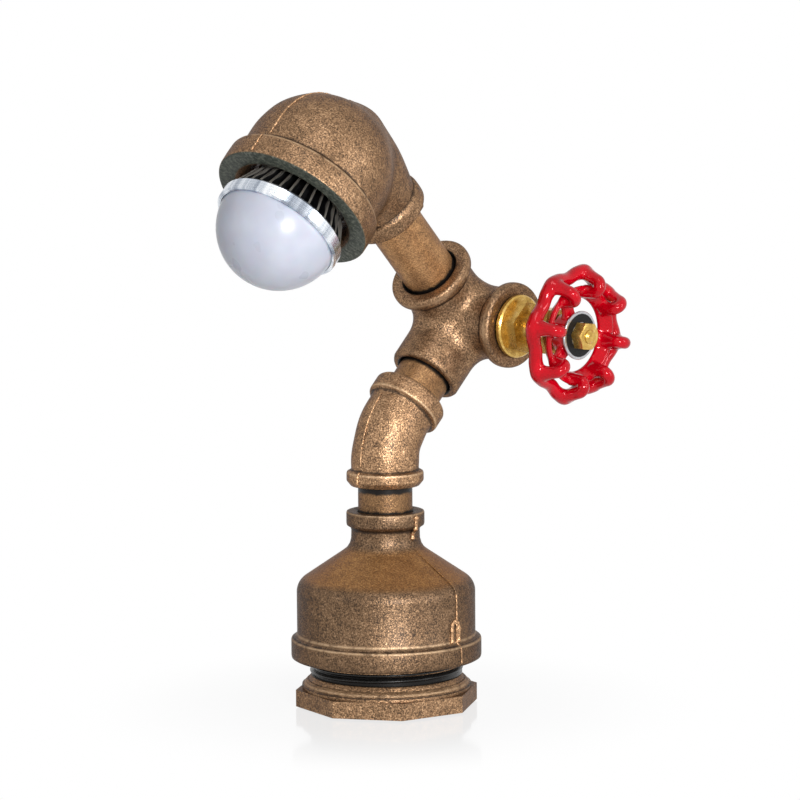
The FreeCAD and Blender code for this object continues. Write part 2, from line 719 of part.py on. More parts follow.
def bead_outline(reach):
    """Half section of a port that ends in a rounded bead."""
    tube = S.corner_body / 2
    bead = S.corner_bead / 2
    back = reach - S.corner_bead_width
    crest = S.corner_bead_width / 2
    return [(0.0, 0.0), (tube, 0.0), (tube, back - 1.6), (bead - 0.8, back + 1),
            (bead, back + 2.2), (bead, reach - 1.4), (bead - crest / 2, reach), (0.0, reach)]


def build_corner():
    body = piece("corner_fitting", CORNER)
    tube = S.corner_body / 2
    plain = S.corner_plain_reach
    beaded = S.corner_bead_reach
    revolve(body, [(0.0, 0.0), (tube, 0.0), (tube, -(plain - S.edge_round)),
                   (tube - S.edge_round, -plain), (0.0, -plain)], role="YZ_Plane")
    revolve(body, [(x, -y) for x, y in bead_outline(beaded)], role="XY_Plane")
    revolve(body, [(y, x) for x, y in bead_outline(beaded)], role="XY_Plane", axis="H_Axis")
    ball = body.newObject("PartDesign::AdditiveSphere", "Ball")
    bind(ball, "Radius", S.corner_body / 2 + 0.5)
    soften(body, ball, S.corner_web)
    sockets = [(0.0, 0.0), (S.waterway / 2, 0.0), (S.waterway / 2, beaded - S.screw_depth),
               (socket_bore, beaded - S.screw_depth), (socket_bore, beaded - 1.2),
               (S.port_mouth / 2, beaded), (S.port_mouth / 2, beaded + 1), (0.0, beaded + 1)]
    lower = [(0.0, 0.0), (S.waterway / 2, 0.0), (S.waterway / 2, -(plain - S.screw_depth)),
             (socket_bore, -(plain - S.screw_depth)), (socket_bore, -(plain - 1.2)),
             (S.port_mouth / 2, -plain), (S.port_mouth / 2, -(plain + 1)), (0.0, -(plain + 1))]
    revolve(body, lower, role="YZ_Plane", cut=True)
    revolve(body, [(x, -y) for x, y in sockets], role="XY_Plane", cut=True)
    revolve(body, [(y, x) for x, y in sockets], role="XY_Plane", axis="H_Axis", cut=True)
    chamber = body.newObject("PartDesign::SubtractiveSphere", "Chamber")
    bind(chamber, "Radius", S.waterway / 2 + 1)


def build_upper_pipe():
    turned_piece("upper_pipe", UPPER, pipe_outline(
        pipe_radius, S.pipe_bore / 2, S.corner_bead_reach - S.screw_depth, head_split, bevel))


# ---------------------------------------------------------------- valve bonnet and switch

chamber_end = S.bonnet_flange_face + 2
gland_foot = S.bonnet_neck_end - 2
spigot = S.bonnet_neck / 2 - 0.6
spigot_end = S.bonnet_neck_end + 5
shaft_bore = S.stem_diameter / 2 + S.shaft_play
switch_end = S.bonnet_tail - 0.1
web_end = S.bonnet_tail + S.bonnet_web
bush_end = web_end + 6
coupler_start = bush_end + 3
stem_start = coupler_start + S.coupler_length / 2
wheel_face = S.disc_distance - S.disc_thickness + 0.1


def build_bonnet():
    body = piece("valve_bonnet", PORT)
    tail = S.waterway / 2 - 0.2
    step = S.corner_bead_reach - S.screw_depth + 0.3
    flange_back = S.corner_bead_reach + 0.3
    flange = S.bonnet_flange / 2
    revolve(body, [
        (0.0, S.bonnet_tail), (tail, S.bonnet_tail), (tail, step), (pipe_radius, step),
        (pipe_radius, flange_back), (flange - 0.6, flange_back), (flange, flange_back + 0.6),
        (flange, S.bonnet_flange_face - 0.6), (flange - 0.6, S.bonnet_flange_face),
        (S.bonnet_neck / 2, S.bonnet_flange_face), (S.bonnet_neck / 2, S.bonnet_neck_end),
        (spigot, S.bonnet_neck_end), (spigot, spigot_end), (0.0, spigot_end)])
    hexagon = sketch_on(body, "XY_Plane", offset=S.bonnet_flange_face)
    draw_outline(hexagon, regular(6, S.bonnet_hexagon, 0.0))
    extrude(body, hexagon, S.bonnet_hexagon_width)
    revolve(body, [
        (0.0, S.bonnet_tail - 1), (S.switch_bush / 2 + 0.1, S.bonnet_tail - 1),
        (S.switch_bush / 2 + 0.1, web_end), (S.bonnet_chamber / 2, web_end),
        (S.bonnet_chamber / 2, chamber_end), (shaft_bore, chamber_end),
        (shaft_bore, gland_foot), (S.gland_bore / 2, gland_foot),
        (S.gland_bore / 2, spigot_end + 1), (0.0, spigot_end + 1)], cut=True)


def hexagon_piece(node, placement, flats, low, high, bore, first_angle=0.0):
    """A hexagonal nut with a plain bore and turned corners."""
    body = piece(node, placement)
    sketch = sketch_on(body, "XY_Plane", offset=low)
    draw_outline(sketch, regular(6, flats, first_angle))
    extrude(body, sketch, high - low)
    outer = flats * 0.6
    face = flats * 0.49
    revolve(body, [(face, high), (outer, high - (outer - face) * 0.5), (outer, high)], cut=True)
    revolve(body, [(0.0, low - 1), (bore, low - 1), (bore, high + 1), (0.0, high + 1)], cut=True)
    return body


def build_packing():
    gland = S.gland_bore / 2
    ring_low = gland_foot + 0.05
    ring_high = ring_low + S.packing_ring_width
    turned_piece("gland_packing", PORT, tube_outline(
        gland - 0.05, shaft_bore, ring_low, ring_high))
    low = S.bonnet_neck_end + 0.3
    high = low + S.packing_width
    nut = hexagon_piece("packing_nut", PORT, S.packing_hexagon, low, high, shaft_bore, 12.0)
    revolve(nut, [(shaft_bore - 1, low - 1), (gland - 0.1, low - 1), (gland - 0.1, ring_high + 0.05),
                  (shaft_bore - 1, ring_high + 0.05)], cut=True)
    revolve(nut, [(gland - 0.1, low - 1), (spigot + 0.05, low - 1), (spigot + 0.05, spigot_end + 0.3),
                  (gland - 0.1, spigot_end + 0.3)], cut=True)


def build_switch():
    body_radius = S.switch_diameter / 2
    bush = S.switch_bush / 2
    bore = S.spindle_diameter / 2 + S.shaft_play
    back = switch_end - S.switch_length
    spindle_foot = switch_end - 2
    turned_piece("rotary_switch", PORT, [
        (0.0, back), (body_radius - 0.6, back), (body_radius, back + 0.6),
        (body_radius, switch_end), (bush, switch_end), (bush, bush_end),
        (bore, bush_end), (bore, spindle_foot), (0.0, spindle_foot)])
    hexagon_piece("switch_nut", PORT, S.switch_nut_flats, web_end + 0.05,
                  web_end + 0.05 + S.switch_nut_width, bush + 0.05)
    turned_piece("switch_spindle", WHEEL, rod_outline(
        S.spindle_diameter / 2, spindle_foot + 0.1, stem_start - 0.1, 0.3))
    coupler_end = coupler_start + S.coupler_length
    turned_piece("shaft_coupler", WHEEL, [
        (bore, coupler_start), (S.coupler_diameter / 2, coupler_start),
        (S.coupler_diameter / 2, coupler_end), (shaft_bore, coupler_end),
        (shaft_bore, stem_start - 0.05), (bore, stem_start - 0.05)])


def build_stem():
    hub_back = wheel_face - S.hub_length
    square_end = wheel_face - 0.3
    tip_end = S.disc_distance + S.wheel_nut_width + 1.2
    tip = S.stem_thread / 2
    body = piece("valve_stem", WHEEL)
    revolve(body, [
        (0.0, stem_start), (S.stem_diameter / 2, stem_start), (S.stem_diameter / 2, hub_back),
        (tip, hub_back), (tip, tip_end - 0.8), (tip - 0.8, tip_end), (0.0, tip_end)])
    square = sketch_on(body, "XY_Plane", offset=hub_back - 0.5)
    draw_outline(square, regular(4, S.stem_square, 45.0))
    extrude(body, square, square_end - hub_back + 0.5)


# ---------------------------------------------------------------- handwheel

def follow(body, path, centre, radius, role="XZ_Plane", offset=None, swing=None):
    """Sweeps a circle along all edges of a path sketch, from its first point."""
    section = sketch_on(body, role, offset=offset, swing=swing)
    draw_circle(section, centre[0], centre[1], radius)
    feature = body.newObject("PartDesign::AdditivePipe", "Swept")
    feature.Profile = section
    feature.Spine = (path, [f"Edge{number + 1}" for number in range(path.GeometryCount)])
    return feature


def rim_path(body):
    """The rim's middle line: a polygon with a bent corner at each knuckle."""
    count = int(S.lobe_count.value)
    flat = S.rim_flats / 2
    half_angle = Size.of(180.0) / S.lobe_count
    half_side = (flat - S.rim_corner) * tangent(half_angle)
    corners = []
    for k in range(count):
        angle = (2 * k + 1) * half_angle
        across, along = cosine(angle), sine(angle)
        if k == 0:
            first = (flat * across, flat * along)
        else:
            corners.append((flat * across + half_side * along, flat * along - half_side * across))
        corners.append((flat * across - half_side * along, flat * along + half_side * across,
                        S.rim_corner))
    last = half_angle
    corners.append((flat * cosine(last) + half_side * sine(last), flat * sine(last) - half_side * cosine(last)))
    path = sketch_on(body, "XY_Plane", offset=S.disc_distance - S.rim_setback)
    draw_outline(path, [first] + corners)
    return path


def build_knuckle(body):
    """One hoop from the inner ring, over its bent head, to the rim's corner."""
    middle = S.knuckle_circle / 2
    head = S.disc_distance + S.knuckle_rise
    bend = S.knuckle_radius
    flat = S.rim_flats / 2
    half_angle = Size.of(180.0) / S.lobe_count
    rim_corner = (flat - S.rim_corner) / cosine(half_angle) + S.rim_corner
    outer = middle + bend * cosine(S.knuckle_lean)
    outer_rise = head + bend * sine(S.knuckle_lean)
    drop = (rim_corner - outer) / tangent(S.knuckle_lean)
    foot = S.disc_distance - S.web_depth / 3
    path = sketch_on(body, "XZ_Plane")
    draw_outline(path, [(middle - bend, foot), (middle - bend, head, -bend), (outer, outer_rise),
                        (rim_corner, outer_rise - drop)], closed=False)
    return follow(body, path, (middle - bend, 0.0), S.knuckle_section / 2, role="XY_Plane", offset=foot)


def build_wheel():
    body = piece("handwheel", WHEEL)
    hub = S.hub_diameter / 2
    back = wheel_face - S.hub_length
    revolve(body, [
        (0.0, back), (hub - 1, back), (hub, back + 1), (hub, wheel_face - 0.6),
        (hub - 0.6, wheel_face), (0.0, wheel_face)])
    ring_back = S.disc_distance - S.web_depth
    spoke = sketch_on(body, "XY_Plane", offset=ring_back - S.spoke_setback, turn=S.spoke_turn)
    half = S.spoke_width / 2
    reach = S.web_inner / 2
    draw_outline(spoke, [(-half, hub - 2), (half, hub - 2), (half, reach), (-half, reach)])
    arm = extrude(body, spoke, S.spoke_thickness)
    ring_of(body, [arm], S.spoke_count)
    wall = S.web_wall / 2
    ring_front = S.disc_distance + S.web_rise
    revolve(body, [
        (S.web_inner / 2 - wall, ring_back), (S.web_inner / 2 + wall, ring_back),
        (S.web_outer / 2 + wall, ring_front), (S.web_outer / 2 - wall, ring_front)])
    follow(body, rim_path(body), (S.rim_flats / 2, S.disc_distance - S.rim_setback),
           S.rim_section / 2, swing=Size.of(180.0) / S.lobe_count)
    knuckle = build_knuckle(body)
    ring_of(body, [knuckle], S.lobe_count)
    socket = sketch_on(body, "XY_Plane", offset=back - 1)
    draw_outline(socket, regular(4, S.stem_square + 0.1, 45.0))
    extrude(body, socket, S.hub_length + 2, cut=True, reverse=True)


def ring_of(body, features, count):
    """Repeats features evenly round the body's Z axis."""
    pattern = body.newObject("PartDesign::PolarPattern", "Ring")
    pattern.Originals = features
    pattern.Axis = (next(f for f in body.Origin.OriginFeatures if f.Role == "Z_Axis"), [""])
    pattern.Angle = 360
    pattern.Occurrences = int(count.value)
    bind(pattern, "Occurrences", count)
    body.Tip = pattern
    return pattern


def build_wheel_fixings():
    tip = S.stem_thread / 2 + 0.05
    low = S.disc_distance - S.disc_thickness + 0.15
    turned_piece("name_disc", WHEEL, [
        (tip, low), (S.disc_diameter / 2, low), (S.disc_diameter / 2, S.disc_distance - 0.2),
        (S.disc_diameter / 2 - 0.2, S.disc_distance), (tip, S.disc_distance)])
    hexagon_piece("wheel_nut", WHEEL, S.wheel_nut_flats, S.disc_distance + 0.05,
                  S.disc_distance + 0.05 + S.wheel_nut_width, tip, 20.0)


# ---------------------------------------------------------------- head elbow

def build_head():
    body = piece("head_elbow", HEAD)
    reach = S.head_reach
    band = S.head_band / 2
    side = S.head_body / 2
    band_back = S.head_band_width - reach
    revolve(body, [
        (0.0, -reach), (band - S.edge_round, -reach), (band, S.edge_round - reach),
        (band, band_back), (side, band_back + 1.6),
        (side, -S.head_shoulder, side), (0.0, side - S.head_shoulder)])
    root = S.branch_root / 2
    tip = S.branch_tip / 2
    end_band = S.branch_band / 2
    foot = S.branch_reach - S.branch_band_width
    taper = arc_radius(root - tip, foot - 1.4 - S.branch_swell)
    branch = revolve(body, [
        (0.0, S.branch_swell - root, root), (root, S.branch_swell, taper),
        (tip, foot - 1.4), (end_band, foot),
        (end_band, S.branch_reach - 1), (end_band - 1, S.branch_reach), (0.0, S.branch_reach)],
        role="XY_Plane")
    soften(body, branch, S.branch_web)
    wall = S.casting_wall
    bore = S.head_thread / 2
    lip_back = S.head_thread_depth + S.head_lip_width - reach
    revolve(body, [
        (0.0, -reach - 1), (S.head_mouth / 2 + 1, -reach - 1), (S.head_mouth / 2, -reach),
        (bore, 2 - reach), (bore, S.head_thread_depth - reach),
        (S.head_lip / 2, S.head_thread_depth - reach), (S.head_lip / 2, lip_back),
        (side - wall, lip_back), (side - wall, -S.head_shoulder, side - wall),
        (0.0, side - wall - S.head_shoulder)], cut=True)
    revolve(body, [
        (0.0, 0.0), (S.waterway / 2, 0.0), (S.waterway / 2, S.branch_reach - S.screw_depth),
        (socket_bore, S.branch_reach - S.screw_depth), (socket_bore, S.branch_reach - 1),
        (socket_bore + 0.8, S.branch_reach), (socket_bore + 0.8, S.branch_reach + 1),
        (0.0, S.branch_reach + 1)], role="XY_Plane", cut=True)


# ---------------------------------------------------------------- lampholder and bulb

sleeve_inner = S.cap_diameter / 2 + S.sleeve_play
sleeve_outer = sleeve_inner + S.sleeve_wall
holder_seat = S.head_reach - S.head_thread_depth
holder_front = holder_seat + S.holder_flange_width


def build_holder():
    shell = S.holder_diameter / 2
    flange = S.holder_flange / 2
    bore = sleeve_outer + 0.05
    back = -S.holder_back
    floor = back + S.holder_floor
    tongue = S.contact_diameter / 2 + 1.5
    turned_piece("lampholder_body", MOUTH, [
        (0.0, back), (shell - 1, back), (shell, back + 1), (shell, holder_seat + 0.05),
        (flange, holder_seat + 0.05), (flange, holder_front), (bore, holder_front),
        (bore, floor), (0.0, floor)])
    turned_piece("holder_sleeve", MOUTH, tube_outline(
        sleeve_outer, sleeve_inner, floor + 3, holder_front - 0.2))
    turned_piece("holder_contact", MOUTH, [
        (0.0, floor + 0.05), (tongue, floor + 0.05), (tongue, floor + 0.6),
        (S.contact_diameter / 2 - 1, 2.0), (0.0, 2.0)])
    turned_piece("retaining_ring", MOUTH, [
        (S.retainer_bore / 2, holder_front + 0.05), (S.head_thread / 2 - 0.05, holder_front + 0.05),
        (S.head_thread / 2 - 0.05, holder_front + S.retainer_width),
        (S.retainer_bore / 2 + 0.8, holder_front + S.retainer_width),
        (S.retainer_bore / 2, holder_front + S.retainer_width - 0.8)])
    posts = piece("holder_terminals", HEAD)
    posts.AllowCompound = True
    sketch = sketch_on(posts, "XY_Plane", offset=S.holder_back + 0.05)
    for direction in (-1, 1):
        draw_circle(sketch, direction * Size.of(6.0), 0.0, Size.of(2.4))
    extrude(posts, sketch, Size.of(2.2))


def build_cap():
    shell = S.cap_diameter / 2
    inner = shell - S.cap_wall
    contact_low = 2.05
    contact_high = contact_low + S.contact_height
    cap_low = S.cap_front - S.cap_length
    turned_piece("cap_contact", MOUTH, [
        (0.0, contact_low), (S.contact_diameter / 2 - 1, contact_low),
        (S.contact_diameter / 2, contact_high - 0.3), (S.contact_diameter / 2, contact_high),
        (0.0, contact_high)])
    turned_piece("cap_insulator", MOUTH, [
        (0.0, contact_high + 0.05), (S.contact_diameter / 2 + 0.6, contact_high + 0.05),
        (inner - S.shaft_play, cap_low + 1.2), (inner - S.shaft_play, cap_low + S.insulator_height),
        (0.0, cap_low + S.insulator_height)])
    turned_piece("cap_shell", MOUTH, tube_outline(shell, inner, cap_low + 1, S.cap_front))


def build_sink():
    body = piece("heat_sink", MOUTH)
    low = S.cap_front + 0.3
    high = S.sink_front
    boss = S.cap_diameter / 2 - S.cap_wall - 0.1
    core = S.sink_core / 2
    revolve(body, [
        (boss - S.sink_wall, low - 3), (boss, low - 3), (boss, low), (boss + 1, low),
        (core, high), (core - S.sink_wall, high), (boss - S.sink_wall, low)])
    sketch = sketch_on(body, "XZ_Plane")
    draw_outline(sketch, [
        (boss - 0.5, low), (boss + 2.4, low), (S.sink_mouth_diameter / 2 - 0.6, low + 5.2),
        (S.sink_front_diameter / 2, high), (core - 0.8, high)])
    fin = extrude(body, sketch, S.fin_thickness, middle=True)
    ring_of(body, [fin], S.fin_count)


def build_light():
    ring = S.trim_diameter / 2
    window = S.trim_bore / 2
    low = S.sink_front + 0.05
    high = low + S.trim_width
    floor = low + 2.2
    dome = S.dome_radius
    inside = dome - S.dome_wall
    turned_piece("trim_ring", MOUTH, [
        (window, low), (ring - 1, low), (ring, low + 1), (ring, high - 0.6), (ring - 0.6, high),
        (dome + 0.1, high), (dome + 0.1, floor), (window, floor)])
    turned_piece("led_board", MOUTH, [
        (0.0, floor + 0.05), (inside - 0.8, floor + 0.05),
        (inside - 0.8, floor + S.board_thickness), (0.0, floor + S.board_thickness)])
    turned_piece("diffuser_dome", MOUTH, [
        (inside, floor + 0.05), (dome, floor + 0.05), (dome, S.dome_centre, dome),
        (0.0, S.dome_centre + dome), (0.0, S.dome_centre + inside, -inside),
        (inside, S.dome_centre)])
    driver = piece("led_driver", MOUTH)
    plate = sketch_on(driver, "XZ_Plane")
    half = S.cap_diameter / 2 - S.cap_wall - S.sink_wall - 0.18
    foot = S.cap_front - S.cap_length * 0.6
    draw_outline(plate, [(-half, foot), (half, foot), (half, low - 2), (-half, low - 2)])
    extrude(driver, plate, S.board_thickness, middle=True)
    can = sketch_on(driver, "XZ_Plane", offset=S.board_thickness / 2 - 0.1)
    can_radius = half * 0.34
    draw_circle(can, 0.0, S.cap_front + S.board_thickness * 2, can_radius)
    extrude(driver, can, half / 2)


# ---------------------------------------------------------------- build and write

build_bushing()
build_foot()
build_socket()
build_grommet()
build_terminals()
build_lower_nipple()
build_leads()
build_elbow()
build_middle_nipple()
build_corner()
build_upper_pipe()
build_bonnet()
build_packing()
build_switch()
build_stem()
build_wheel()
build_wheel_fixings()
build_head()
build_holder()
build_cap()
build_sink()
build_light()

doc.recompute()
for item in doc.Objects:
    if "Invalid" in item.State or "Error" in item.State:
        raise RuntimeError(f"{item.Name} of {item.Label} did not build")
os.makedirs("parts", exist_ok=True)
for item in PARTS:
    shape = item.Shape
    if shape.isNull() or not shape.isValid():
        raise RuntimeError(f"{item.Label} has no valid shape")
    print(item.Label, round(shape.Volume, 1), len(shape.Solids))
    shape.exportStep(f"parts/{item.Label}.step")
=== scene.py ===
import math

import bpy
import numpy as np
from mathutils import Matrix, Vector


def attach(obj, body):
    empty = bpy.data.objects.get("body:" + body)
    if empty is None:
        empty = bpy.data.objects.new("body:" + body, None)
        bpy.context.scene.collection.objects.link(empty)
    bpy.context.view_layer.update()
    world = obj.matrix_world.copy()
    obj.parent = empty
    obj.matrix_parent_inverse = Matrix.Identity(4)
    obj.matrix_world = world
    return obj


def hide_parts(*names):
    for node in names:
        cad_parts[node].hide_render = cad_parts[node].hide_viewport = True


# The looks of a table lamp made of bronze-painted pipe fittings, with a red valve handwheel. The
# scene is in metres, +Z up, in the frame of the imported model. A fitting's own sizes are in
# millimetres, in a frame of its own.

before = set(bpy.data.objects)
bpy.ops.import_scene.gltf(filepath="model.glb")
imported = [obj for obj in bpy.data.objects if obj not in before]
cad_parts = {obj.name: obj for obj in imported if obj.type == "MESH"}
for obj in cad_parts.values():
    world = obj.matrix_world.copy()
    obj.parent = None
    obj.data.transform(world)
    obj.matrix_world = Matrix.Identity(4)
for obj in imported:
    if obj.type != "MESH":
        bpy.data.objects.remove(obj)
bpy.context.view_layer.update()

MM = 0.001
PER_METRE = 1000.0

# ---- places of the fittings

ELBOW_HEIGHT = 106.3
ELBOW_LEAN = 45.0
CORNER_DISTANCE = 60.8
CORNER_TURN = 3.6
HEAD_DISTANCE = 105.1
HEAD_TURN = -2.2
DISC_DISTANCE = 61.9
WHEEL_TURN = -11.3
INLET_PLACE = (0, 32.7, 40.5)


def turned(axis, degrees):
    return Matrix.Rotation(math.radians(degrees), 4, axis)


BASE = Matrix.Identity(4)
ELBOW = Matrix.Translation((0, 0, ELBOW_HEIGHT))
TILTED = ELBOW @ turned("X", -ELBOW_LEAN)
CORNER = TILTED @ Matrix.Translation((0, 0, CORNER_DISTANCE)) @ turned("Z", CORNER_TURN)
WHEEL = CORNER @ turned("Y", 90.0) @ turned("Z", WHEEL_TURN)
HEAD = CORNER @ Matrix.Translation((0, -HEAD_DISTANCE, 0)) @ turned("Y", HEAD_TURN)
MOUTH = HEAD @ turned("X", 180.0)

# The ends of the fittings, each with Z along its own bore.
ELBOW_FOOT = ELBOW @ turned("X", 180.0)
CORNER_FOOT = CORNER @ turned("X", 180.0)
UPPER = CORNER @ turned("X", 90.0)
PORT = CORNER @ turned("Y", 90.0)
BRANCH = HEAD @ turned("X", -90.0)
INLET = Matrix.Translation(INLET_PLACE) @ turned("X", -90.0)


def in_place(points, place):
    """Points (n, 3) in millimetres of a fitting's own frame, as metres of the row frame."""
    turn = np.array(place.to_3x3())
    shift = np.array(place.translation)
    return (points @ turn.T + shift) * MM


# ---- meshes from whole arrays

def mesh_object(name, points, faces, place, body, material):
    """A smooth mesh object at the origin, from (n, 3) points in a fitting's frame and (m, 4) faces."""
    mesh = bpy.data.meshes.new(name)
    mesh.vertices.add(len(points))
    mesh.vertices.foreach_set("co", in_place(points, place).astype(np.float32).ravel())
    sides = faces.shape[1]
    mesh.loops.add(faces.size)
    mesh.loops.foreach_set("vertex_index", faces.astype(np.int32).ravel())
    mesh.polygons.add(len(faces))
    mesh.polygons.foreach_set("loop_start", np.arange(len(faces), dtype=np.int32) * sides)
    mesh.update(calc_edges=True)
    mesh.polygons.foreach_set("use_smooth", np.ones(len(faces), dtype=bool))
    mesh.update()
    item = bpy.data.objects.new(name, mesh)
    bpy.context.scene.collection.objects.link(item)
    item.data.materials.append(material)
    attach(item, body)
    return item


def grid_faces(rows, columns, wrap_rows=False, wrap_columns=True):
    """Quads of a rows x columns grid of points; wrapping joins the last to the first."""
    r = np.arange(rows if wrap_rows else rows - 1)
    c = np.arange(columns if wrap_columns else columns - 1)
    a, b = np.meshgrid(r, c, indexing="ij")
    a2 = (a + 1) % rows
    b2 = (b + 1) % columns
    quads = np.stack([a * columns + b, a * columns + b2, a2 * columns + b2, a2 * columns + b], -1)
    return quads.reshape(-1, 4)


# ---- shader arithmetic

class Wire:
    """One value in a node tree. Sums, products and mixes of wires become math nodes."""

    def __init__(self, owner, socket):
        self.owner = owner
        self.socket = socket

    def math(self, operation, *others):
        values = dict(enumerate((self,) + others))
        made = self.owner.node("ShaderNodeMath", {"operation": operation}, values)
        return Wire(self.owner, made.outputs[0])

    def __add__(self, other):
        return self.math("ADD", other)

    def __radd__(self, other):
        return self.math("ADD", other)

    def __sub__(self, other):
        return self.math("SUBTRACT", other)

    def __rsub__(self, other):
        return (self * -1.0) + other

    def __mul__(self, other):
        return self.math("MULTIPLY", other)

    def __rmul__(self, other):
        return self.math("MULTIPLY", other)

    def __truediv__(self, other):
        return self.math("DIVIDE", other)

    def power(self, exponent):
        return self.math("POWER", exponent)

    def smooth(self, low, high, start=0.0, end=1.0):
        """Smooth step of this value from low to high, giving start to end."""
        step = self.owner.node("ShaderNodeMapRange", {"interpolation_type": "SMOOTHSTEP"}, Value=self,
                               From_Min=low, From_Max=high, To_Min=start, To_Max=end)
        return Wire(self.owner, step.outputs["Result"])


class Nodes:
    """The node tree of a material or of the world."""

    def __init__(self, tree):
        self.tree = tree

    def node(self, kind, settings=None, numbered=None, **named):
        """Any node. Its settings are set first, and then its sockets, by number or by name with
        underscores for spaces."""
        made = self.tree.nodes.new(kind)
        for key, value in (settings or {}).items():
            if key == "stops":
                set_stops(made.color_ramp, value)
            else:
                setattr(made, key, value)
        for key, value in (numbered or {}).items():
            self.feed(made.inputs[key], value)
        for key, value in named.items():
            self.feed(made.inputs[key.replace("_", " ")], value)
        return made

    def feed(self, socket, value):
        """Links or sets a socket; a colour may be given without its alpha."""
        if isinstance(value, Wire):
            self.tree.links.new(value.socket, socket)
        elif isinstance(value, bpy.types.NodeSocket):
            self.tree.links.new(value, socket)
        elif isinstance(value, tuple):
            socket.default_value = value if len(value) == len(socket.default_value) else (*value, 1.0)
        else:
            socket.default_value = value

    def mix_shaders(self, factor, first, second):
        """First shader at factor 0 and second at 1."""
        return self.node("ShaderNodeMixShader", numbered={0: factor, 1: first, 2: second}).outputs[0]


class Paint(Nodes):
    """A Principled material that is built up from Object coordinates in metres."""

    def __init__(self, name):
        self.material = bpy.data.materials.new(name)
        self.material.use_nodes = True
        super().__init__(self.material.node_tree)
        self.shader = self.tree.nodes["Principled BSDF"]
        self.place = self.node("ShaderNodeTexCoord").outputs["Object"]

    def local(self, matrix):
        """Object coordinates taken into a fitting's frame, in millimetres: three wires."""
        inverse = matrix.inverted()
        rows = [inverse[k] for k in range(3)]
        parts = self.node("ShaderNodeSeparateXYZ", Vector=self.place)
        x, y, z = (Wire(self, parts.outputs[k]) for k in range(3))
        return [x * (r[0] * PER_METRE) + y * (r[1] * PER_METRE) + z * (r[2] * PER_METRE) + r[3]
                for r in rows]

    def noise_over(self, where, scale, detail, roughness=0.5):
        """Noise from 0 to 1 over any vector."""
        made = self.node("ShaderNodeTexNoise", Vector=where, Scale=scale, Detail=detail,
                         Roughness=roughness)
        return Wire(self, made.outputs[0])

    def noise(self, size, detail=3.0, roughness=0.55):
        """Noise from 0 to 1 over the object, whose grains are about size millimetres."""
        return self.noise_over(self.place, PER_METRE / size, detail, roughness)

    def ramp(self, factor, tones, shade=1.0):
        """Colour ramp through (position, sRGB colour) tones, made shade times as bright."""
        stops = [(at, tuple(c * shade for c in rgb(*tone))) for at, tone in tones]
        return self.node("ShaderNodeValToRGB", {"stops": stops}, Fac=factor).outputs["Color"]

    def two_tone(self, factor, low, high):
        """Colour ramp between two sRGB colours over the middle of a noise."""
        return self.ramp(factor, [(0.3, low), (0.7, high)])

    def mix(self, factor, first, second):
        """Colour mix; first and second are sockets or linear (r, g, b)."""
        made = self.node("ShaderNodeMix", {"data_type": "RGBA"}, {0: factor, 6: first, 7: second})
        return made.outputs[2]

    def bump(self, height, depth, strength=1.0, under=None):
        """Bump whose height runs from 0 to 1 for a depth in millimetres."""
        made = self.node("ShaderNodeBump", Height=height, Distance=depth * MM, Strength=strength)
        if under is not None:
            self.feed(made.inputs["Normal"], under)
        return made.outputs["Normal"]

    def finish(self, **inputs):
        """Feeds the Principled shader and gives the material."""
        for key, value in inputs.items():
            self.feed(self.shader.inputs[key.replace("_", " ")], value)
        return self.material


def set_stops(band, stops):
    """Gives a colour ramp its (position, linear colour) stops."""
    while len(band.elements) < len(stops):
        band.elements.new(0.5)
    for element, (position, colour) in zip(band.elements, stops):
        element.position = position
        element.color = (*colour, 1.0)


def rgb(red, green, blue):
    """Linear colour of an sRGB colour given from 0 to 255."""
    values = [c / 255.0 for c in (red, green, blue)]
    return tuple(v / 12.92 if v <= 0.04045 else ((v + 0.055) / 1.055) ** 2.4 for v in values)


# ---- materials

def reach_of(paint, matrix):
    """Distance from a fitting's Z axis and place along it, in millimetres."""
    x, y, z = paint.local(matrix)
    return (x * x + y * y).power(0.5), z


def either(covers):
    """The highest of several values from 0 to 1."""
    result = covers[0]
    for cover in covers[1:]:
        result = result.math("MAXIMUM", cover)
    return result


# The clear coat on bronze paint, the tint of its mirror image at a flat angle, and how rough it is
# between the grains and on them.
BRONZE_COAT = {"Specular_IOR_Level": 0.15, "Specular_Tint": (0.14, 0.11, 0.09), "Coat_Weight": 0.3,
               "Coat_Roughness": 0.42}
BRONZE_ROUGH = (0.46, 0.36)
# Width in millimetres of the rubbed gold edge rings, which are partly painted highlight.
RUBBED_AND_LIT_WIDTH = 0.75

CAST_TONES = [(0.34, (52, 38, 28)), (0.43, (90, 69, 49)), (0.50, (119, 91, 65)), (0.57, (141, 110, 81)),
              (0.68, (180, 147, 114))]
# Brighter gold of painted light on surfaces that face up to the light.
LIT_SLOPE_TONES = [(0.36, (104, 72, 42)), (0.50, (142, 101, 60)), (0.64, (178, 134, 84))]
IRON_TONES = [(0.32, (36, 39, 35)), (0.5, (70, 75, 67)), (0.68, (112, 114, 103))]
PIPE_TONES = [(0.34, (76, 55, 36)), (0.45, (108, 80, 53)), (0.54, (130, 97, 64)), (0.68, (162, 126, 86))]
# Dark brown of painted shade in hollows.
HOLLOW_SHADE_BROWN = rgb(40, 29, 21)
# Black of bare thread with painted shade inside openings.
THREAD_AND_SHADE_DARK = rgb(14, 12, 11)
# Black of bare thread with painted shade at pipe ends inside a fitting.
PIPE_END_THREAD_AND_SHADE = rgb(20, 17, 15)


def ring_cover(paint, rings, ragged, core):
    """1 on rings of a fitting and 0 beyond their width. Each ring is (matrix, radius, level, width),
    full inside core times its width, and ragged is added to the distance from it."""
    covers = []
    for matrix, radius, level, width in rings:
        out, along = reach_of(paint, matrix)
        out, along = out - radius, along - level
        away = (out * out + along * along).power(0.5) + ragged
        covers.append(away.smooth(width, width * core))
    return either(covers)


